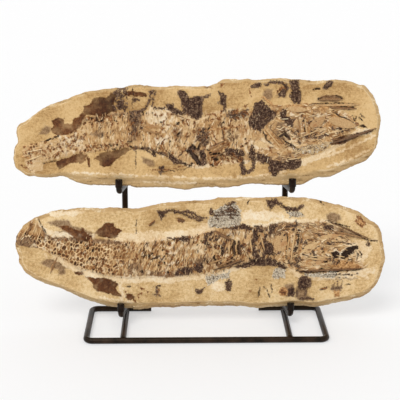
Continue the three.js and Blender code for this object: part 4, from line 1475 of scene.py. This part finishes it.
LOWER_TAIL = [(-240, 92), (-200, 80), (-150, 56), (-90, 48), (-90, 95), (-150, 99), (-210, 104)]
LOWER_FLANK = [(-90, 48), (50, 64), (90, 72), (90, 114), (0, 106), (-90, 95)]
LOWER_PATCHES = {
    # dark skin: smudge and patch over the back, belly patch
    "stain": [
        [(-194, 117), (-184, 120), (-179, 117), (-171, 112), (-166, 111), (-163, 115), (-158, 108),
         (-151, 105), (-152, 99), (-172, 99), (-179, 106), (-188, 112)],
        [(-147, 108), (-143, 113), (-137, 117), (-133, 122), (-122, 121), (-120, 116), (-110, 111),
         (-116, 107), (-118, 103), (-128, 100), (-142, 103)],
        [(-161, 49), (-150, 47), (-133, 46), (-121, 42), (-117, 36), (-121, 32), (-112, 19), (-122, 21),
         (-130, 25), (-140, 26), (-147, 29), (-152, 33), (-150, 38), (-158, 46)],
        [(-176, 55), (-164, 56), (-163, 52), (-170, 50)],
        [(-106, 24), (-99, 24), (-95, 19), (-101, 16), (-108, 18)],
    ],
    # faint brown films by the fins and round the head
    "haze": [
        [(-210, 122), (-198, 126), (-183, 126), (-176, 118), (-168, 116), (-158, 112), (-146, 106),
         (-150, 99), (-200, 101), (-206, 108), (-190, 112), (-200, 118)],
        [(-222, 68), (-212, 72), (-199, 73), (-190, 66), (-181, 60), (-188, 60), (-187, 51), (-197, 51),
         (-197, 58), (-214, 62)],
        [(170, 117), (190, 110), (205, 104), (226, 97), (200, 99), (186, 102), (172, 108)],
        [(160, 131), (168, 135), (178, 131), (180, 125), (170, 120), (162, 123)],
        [(-252, 92), (-250, 104), (-236, 104), (-222, 98), (-226, 89), (-240, 90)],
        [(84, 120), (104, 122), (106, 114), (96, 104), (84, 99)],
        [(170, 34), (182, 33), (183, 26), (174, 24), (168, 28)],
        [(106, 36), (118, 38), (120, 22), (108, 18)],
        [(121, 31), (137, 32), (137, 22), (145, 15), (130, 12), (120, 18)],
        [(-104, 66), (-90, 68), (-82, 60), (-84, 50), (-104, 50)],
        [(-22, 72), (8, 76), (14, 68), (-4, 64), (-22, 64)],
        [(150, 96), (176, 104), (168, 118), (148, 112)],
    ],
    # purple-brown iron crust
    "crust": [
        [(-63, 66), (-58, 76), (-55, 77), (-57, 70)],
        [(-37, 59), (-26, 62), (-17, 62), (-16, 55), (-24, 50), (-41, 50), (-42, 53)],
        [(-15, 66), (-9, 68), (-3, 62), (-4, 54), (-10, 53), (-16, 57)],
        [(4, 140), (9, 142), (11, 137), (10, 130), (5, 132)],
        [(79, 151), (95, 152), (100, 147), (110, 142), (122, 143), (130, 147), (130, 142), (122, 137),
         (110, 136), (103, 141), (96, 145), (90, 144), (86, 137), (83, 142)],
        [(-3, 104), (2, 109), (12, 110), (9, 106), (2, 102), (2, 95), (10, 88), (3, 87), (-3, 93)],
        [(64, 116), (70, 112), (70, 100), (66, 90), (72, 76), (66, 70), (62, 78), (60, 92), (62, 104)],
        [(84, 118), (92, 119), (96, 117), (90, 112), (86, 101), (82, 104)],
        [(80, 96), (88, 94), (92, 90), (92, 80), (86, 76), (78, 78), (76, 88)],
        [(36, 60), (52, 67), (66, 73), (88, 73), (100, 67), (110, 60), (106, 57), (96, 61), (70, 63),
         (53, 59)],
        [(26, 40), (31, 43), (35, 38), (34, 28), (27, 27)],
        [(-15, 32), (-9, 29), (-2, 32), (-4, 26), (-8, 22), (-13, 26)],
        [(153, 120), (161, 118), (169, 116), (169, 110), (160, 111)],
        [(122, 32), (124, 43), (129, 48), (136, 47), (142, 41), (141, 33), (135, 28), (126, 27)],
        [(110, 19), (111, 30), (116, 35), (119, 29), (120, 19)],
        [(-65, 139), (-56, 138), (-54, 130), (-59, 126), (-63, 131)],
        [(22, 114), (36, 117), (50, 120), (60, 116), (75, 119), (75, 115), (56, 112), (36, 113)],
        [(104, 118), (119, 118), (120, 125), (124, 122), (121, 114), (108, 115)],
        [(25, 147), (39, 151), (39, 147), (28, 144)],
        [(24, 139), (34, 142), (42, 139), (41, 135), (28, 135)],
        [(6, 131), (20, 133), (24, 131), (12, 129)],
        [(122, 58), (133, 57), (144, 54), (140, 51), (126, 53)], [(30, 68), (44, 70), (36, 62), (26, 62)],
        [(-32, 104), (-20, 103), (-24, 97), (-33, 98)],
    ],
    # grey calcite grit
    "grit": [
        [(2, 124), (8, 130), (12, 138), (24, 146), (38, 150), (45, 142), (48, 126), (44, 118), (22, 115),
         (4, 116)],
        [(0, 49), (11, 50), (32, 54), (32, 46), (18, 44), (10, 36), (3, 36)],
        [(90, 58), (104, 61), (108, 55), (106, 46), (98, 43), (90, 46)],
        [(106, 137), (126, 136), (130, 129), (112, 129)],
        [(132, 51), (150, 51), (176, 53), (174, 45), (156, 45), (134, 46)],
    ],
    # pale chalky skin
    "cream": [
        [(-117, 109), (-74, 109), (-18, 110), (-18, 103), (-74, 98), (-117, 99)],
        [(-118, 39), (-112, 33), (-108, 25), (-110, 13), (-115, 13), (-114, 25)],
        [(-213, 134), (-193, 138), (-166, 139), (-158, 136), (-180, 132), (-204, 129)],
        [(126, 75), (142, 80), (156, 75), (150, 67), (132, 67)], [(75, 107), (83, 103), (80, 93), (75, 97)],
        [(10, 40), (24, 40), (26, 30), (16, 24), (8, 30)],
        [(48, 136), (66, 138), (100, 136), (104, 128), (80, 124), (50, 126)],
        [(-16, 92), (-4, 94), (-2, 80), (-14, 78)], [(206, 52), (218, 50), (220, 43), (208, 44)],
        [(192, 90), (200, 96), (214, 95), (222, 84), (216, 70), (206, 66), (198, 78)],
    ],
    # amber bone: gill cover, lower jaw and loose bones
    "honey": [
        [(92, 84), (93, 96), (100, 105), (108, 108), (112, 104), (110, 92), (105, 82), (98, 78)],
        [(166, 60), (173, 67), (184, 70), (199, 66), (212, 58), (198, 58), (184, 58)],
        [(172, 27), (180, 27), (180, 18), (173, 18)],
        [(97, 24), (100, 31), (107, 33), (112, 28), (111, 20), (101, 20)],
        [(200, 122), (205, 128), (213, 119), (208, 113)],
    ],
    # rust spots
    "rust": [
        [(-39, 127), (-34, 129), (-27, 124), (-31, 121), (-37, 123)],
        [(-78, 118), (-69, 125), (-66, 123), (-74, 117)], [(98, 25), (103, 30), (109, 27), (105, 21)],
    ],
    # the eye, the jaw joint and the hollow of the mouth
    "ink": [
        [(167, 80), (174, 82), (179, 80), (179, 73), (174, 71), (170, 75)],
        [(150, 56), (155, 59), (160, 57), (154, 54)],
        [(180, 72), (183, 81), (189, 87), (204, 89), (205, 85), (198, 81), (191, 74), (184, 70)],
    ],
}
# Each stroke is its width and its path.
LOWER_STROKES = {
    # cracks, gaps between ribs, jaw lines, scratches below the gills
    "ink": [
        (0.7, (-92, 127), (-92, 108)), (2.2, (-85, 76), (-70, 80)), (2.2, (-74, 72), (-60, 77)),
        (1.8, (-222, 126), (-217, 115), (-212, 108)), (2.4, (-106, 35), (-100, 34)),
        (3.6, (38, 97), (37, 88), (39, 78)), (3, (44, 97), (43, 86), (45, 78)), (2.6, (22, 88), (22, 78)),
        (2.4, (122, 56), (133, 53), (152, 53), (180, 55), (209, 57)),
        (1.8, (202, 80), (205, 76), (203, 70)), (1.8, (206, 81), (209, 77), (208, 73)),
        (1.6, (189, 34), (194, 36)), (2, (167, 121), (181, 116), (198, 107), (213, 98), (229, 95)),
        (1.5, (167, 95), (182, 94), (194, 92)), (1.3, (70, 18), (73, 32)),
        (1.3, (78, 34), (84, 24), (87, 17)), (1.3, (88, 36), (89, 25)),
        (2, (108, 108), (110, 90), (107, 72)), (1.8, (124, 111), (123, 93), (118, 75)),
        (2.6, (141, 91), (146, 86)), (1.1, (158, 50), (180, 48), (200, 49)), (1, (164, 46), (190, 44)),
        (1.6, (160, 123), (176, 119), (192, 115)), (2, (55, 146), (58, 150)), (1.4, (151, 150), (156, 144)),
    ],
    # rust-brown splinters
    "rust": [
        (1.6, (92, 80), (90, 92), (96, 104), (106, 111)), (2.4, (59, 28), (61, 28)),
        (2, (66, 43), (68, 43)), (1.8, (199, 121), (202, 129), (207, 127)),
        (2.6, (200, 131), (206, 125), (214, 117)), (1.6, (200, 121), (206, 116), (211, 113)),
        (2.2, (204, 128), (199, 121)), (2.4, (154, 29), (162, 31)), (3, (-90, 34), (-84, 31)),
        (2.6, (-91, 22), (-85, 26)),
    ],
    # bones: ribs, gill rays, cheek
    "honey": [
        (2.2, (-199, 73), (-207, 55)), (4, (14, 110), (22, 105), (31, 99)),
        (2.8, (18, 63), (27, 67), (35, 72)), (2.8, (24, 62), (34, 66), (44, 71)), (2.4, (6, 67), (16, 70)),
        (2.6, (75, 111), (78, 100), (75, 93)), (3.4, (112, 111), (111, 94), (107, 76)),
        (3.4, (120, 113), (119, 97), (114, 78), (112, 61)), (3, (130, 108), (127, 90), (122, 72)),
        (4, (133, 67), (146, 72), (160, 67)), (3, (142, 83), (155, 87), (166, 80)),
        (3, (126, 60), (142, 65)),
    ],
    # pale streaks in the stone
    "cream": [
        (2.4, (-142, 20), (-118, 15), (-89, 11)), (2, (150, 47), (178, 46), (205, 45)),
        (7.6, (-200, 75), (-188, 67), (-175, 59), (-160, 53), (-142, 46), (-120, 43), (-95, 43)),
        (5, (-184, 64), (-168, 56), (-150, 49), (-126, 44)), (4, (-120, 43), (-96, 44), (-74, 45)),
    ],
    # a film below the jaw
    "haze": [
        (2.4, (152, 44), (180, 43), (204, 44)),
    ],
    # beaded lines over the back and below the jaw
    "crust": [
        (2, (176, 50), (190, 49), (204, 50)), (4.4, (-56, 135), (-47, 139), (-40, 137), (-30, 135)),
        (3.4, (-32, 137), (-20, 135), (-8, 129), (2, 128)), (2.6, (-32, 134), (-22, 130), (-18, 127)),
        (3.4, (-18, 131), (-10, 125), (-4, 125)), (2.6, (-65, 35), (-66, 22)), (2.4, (-70, 34), (-61, 35)),
        (2.2, (-70, 23), (-61, 22)), (2.6, (26, 132), (34, 133), (43, 131)), (2, (14, 134), (24, 137)),
        (3, (122, 30), (123, 20)), (3.6, (124, 16), (134, 17), (145, 15)), (3, (135, 29), (134, 20)),
        (2.2, (216, 94), (220, 92), (217, 90), (214, 92)), (2, (154, 28), (161, 32), (165, 33)),
        (1.8, (170, 29), (173, 37)), (1.8, (175, 30), (178, 39)), (1.8, (181, 32), (183, 39)),
        (1.8, (171, 30), (183, 30)),
    ],
}
# Each scatter of specks is their number, their size and the outline they lie in.
LOWER_SPECKS = {
    "rust": [
        (70, 2.6, LOWER_TAIL), (40, 3.2, [(-60, 50), (60, 66), (60, 112), (-60, 100)]),
        (8, 2.2, [(-110, 14), (-60, 16), (-60, 40), (-110, 40)]),
    ],
    "ink": [
        (5, 1.6, [(-190, 84), (-150, 66), (-130, 66), (-124, 84), (-150, 92)]), (60, 1.8, LOWER_FLANK),
        (25, 1.6, [(110, 60), (200, 62), (200, 98), (150, 116), (110, 116)]),
    ],
    "cream": [
        (60, 2.2, LOWER_TAIL), (90, 2.8, LOWER_FLANK),
        (60, 4.2, [(110, 60), (210, 60), (215, 90), (150, 116), (110, 116)]),
    ],
    "crust": [
        (46, 3.6, [(0, 60), (90, 72), (110, 68), (110, 118), (0, 106)]),
        (50, 3, [(110, 60), (180, 60), (180, 100), (110, 116)]),
        (18, 2.4, [(8, 124), (40, 124), (40, 146), (20, 140)]),
    ],
}
LOWER = {
    "seed": 57, "crown": (5, 80), "sag": 5.4, "flank": lower_flank, "body_swell": 2.2, "ink_depth": 2,
    "top_bevel": 6, "bevel_drop": 5.5, "lay": lower_lay, "splinters": 1100, "flakes": 70,
    # The arris value sets how strong the painted highlight along the bevel's edge is.
    "tail_span": (-132, -104), "head_span": (96, 118), "arris_highlight": 0.3, "crust_grains": 2000,
    "calcite_grains": 1000,
    "outline": [
        (-253, 92), (-252, 100), (-249, 108), (-241, 119), (-231, 127), (-222, 131), (-197, 139),
        (-183, 140), (-171, 142), (-143, 141), (-127, 142), (-98, 140), (-84, 141), (-69, 145), (-52, 148),
        (-18, 151), (8, 152), (20, 155), (51, 155), (71, 154), (106, 156), (121, 155), (139, 153),
        (163, 148), (193, 139), (206, 134), (217, 125), (228, 117), (234, 107), (237, 93), (240, 77),
        (239, 62), (233, 40), (227, 30), (217, 22), (205, 18), (175, 11), (159, 7), (147, 6), (128, 8),
        (103, 7), (72, 5), (41, 7), (-6, 8), (-29, 7), (-45, 6), (-60, 7), (-91, 4), (-118, 7), (-135, 9),
        (-161, 18), (-176, 25), (-191, 32), (-222, 43), (-232, 48), (-241, 55), (-247, 63), (-250, 69),
        (-249, 76), (-251, 82),
    ],
    "body_low": [
        (-252, 93), (-240, 91), (-225, 88), (-210, 83), (-196, 77), (-184, 68), (-169, 60), (-151, 54),
        (-128, 49), (-101, 47), (-76, 48), (-49, 46), (-18, 51), (14, 52), (34, 59), (51, 64), (66, 70),
        (87, 70), (109, 64), (126, 52), (153, 51), (187, 53), (206, 57), (214, 60),
    ],
    "body_high": [
        (-252, 104), (-240, 116), (-228, 127), (-212, 108), (-202, 104), (-179, 103), (-159, 101),
        (-141, 100), (-118, 98), (-92, 97), (-69, 98), (-49, 101), (-21, 103), (3, 111), (22, 115),
        (46, 118), (66, 116), (85, 118), (105, 122), (132, 121), (159, 121), (178, 114), (190, 103),
        (196, 90), (203, 70), (214, 62),
    ],
    "bevel_line": [
        (-260, 50), (-222, 46), (-191, 35), (-161, 21), (-118, 13), (-62, 12), (-8, 13), (60, 11),
        (127, 12), (154, 13), (181, 18), (215, 26), (245, 40),
    ],
    # layer, side, from, to, inner and outer distance from the line of the belly or the back
    "bands": [
        ("cream", "body_low", -208, 10, -1.5, 8), ("cream", "body_high", -125, 12, -1.5, 9),
        ("cream", "body_low", 5, 120, -1.5, 5), ("cream", "body_low", 112, 225, 1, 9),
        ("cream", "body_high", -225, -150, 0, 6), ("cream", "body_high", 60, 170, 0, 4),
        ("haze", "body_high", -215, -110, -5.5, 0), ("crust", "body_high", -50, -20, -3.4, 0.4),
        ("haze", "body_low", -104, -30, -9, -1), ("haze", "body_high", 70, 160, -7, 0),
    ],
    # from, to, thickness, roll and tone: jaws, snout bones, ribs, loose rods
    "long_bones": [
        (124, 55, 212, 58, 3, 0, 0.24), (164, 121, 230, 94, 2.8, 0.3, 0.22),
        (150, 114, 210, 100, 2.2, 0, 0.4), (160, 96, 200, 92, 1.8, 0, 0.2), (156, 90, 192, 88, 1.8, 0, 0.7),
        (140, 104, 176, 98, 2, 0, 0.72), (12, 111, 33, 98, 4.4, 0, 0.26), (37, 99, 38, 76, 3.2, 0, 0.08),
        (44, 98, 46, 77, 3, 0, 0.12), (31, 98, 31, 78, 2.4, 0, 0.7), (16, 62, 38, 73, 2.4, 0, 0.36),
        (23, 61, 48, 72, 2.2, 0, 0.28), (-222, 124, -236, 96, 1.8, 0, 0.7),
        (-228, 122, -244, 98, 1.8, 0, 0.3), (-217, 116, -226, 94, 1.8, 0, 0.76),
        (-234, 118, -247, 100, 1.6, 0, 0.66), (-75, 117, -67, 124, 2.2, 0, 0.16),
        (-38, 127, -28, 123, 3.6, 0, 0.2), (4, 66, 24, 73, 2.2, 0, 0.46), (10, 57, 52, 70, 2.6, 0, 0.1),
        (58, 104, 62, 80, 2.6, 0, 0.66), (72, 108, 78, 84, 2.6, 0, 0.62), (112, 114, 108, 72, 2.6, 0, 0.56),
        (119, 114, 113, 66, 2.6, 0, 0.7), (127, 112, 122, 70, 2.2, 0, 0.4),
        (-198, 76, -208, 53, 2.2, 0, 0.34), (-90, 76, -56, 82, 2.2, 0, 0.12), (-84, 70, -52, 77, 2, 0, 0.1),
        (126, 62, 168, 66, 2, 0, 0.74), (130, 74, 162, 70, 2.4, 0, 0.66),
    ],
    "plates": [
        (94, 76, 104, 110, 18, 0, 0.56), (128, 80, 148, 92, 12, 0, 0.64), (140, 64, 160, 74, 10, 0, 0.6),
        (150, 100, 178, 104, 8, 0, 0.6), (52, 92, 58, 108, 8, 0, 0.66),
    ],
    "patches": LOWER_PATCHES, "strokes": LOWER_STROKES, "specks": LOWER_SPECKS,
    "colours": {
        "stone_dark": (178, 142, 92), "stone": (212, 178, 126), "stone_pale": (234, 206, 160),
        "stone_speck": (158, 118, 74), "bevel_dark": (140, 106, 64), "bevel": (194, 160, 112),
        "bevel_pale": (242, 222, 184), "grit": (208, 194, 170), "grit_dark": (84, 68, 54),
    },
}
carve_slab("lower_slab", "lower", LOWER)
for shape in (splinter, crystal, flake):
    bpy.data.objects.remove(shape)
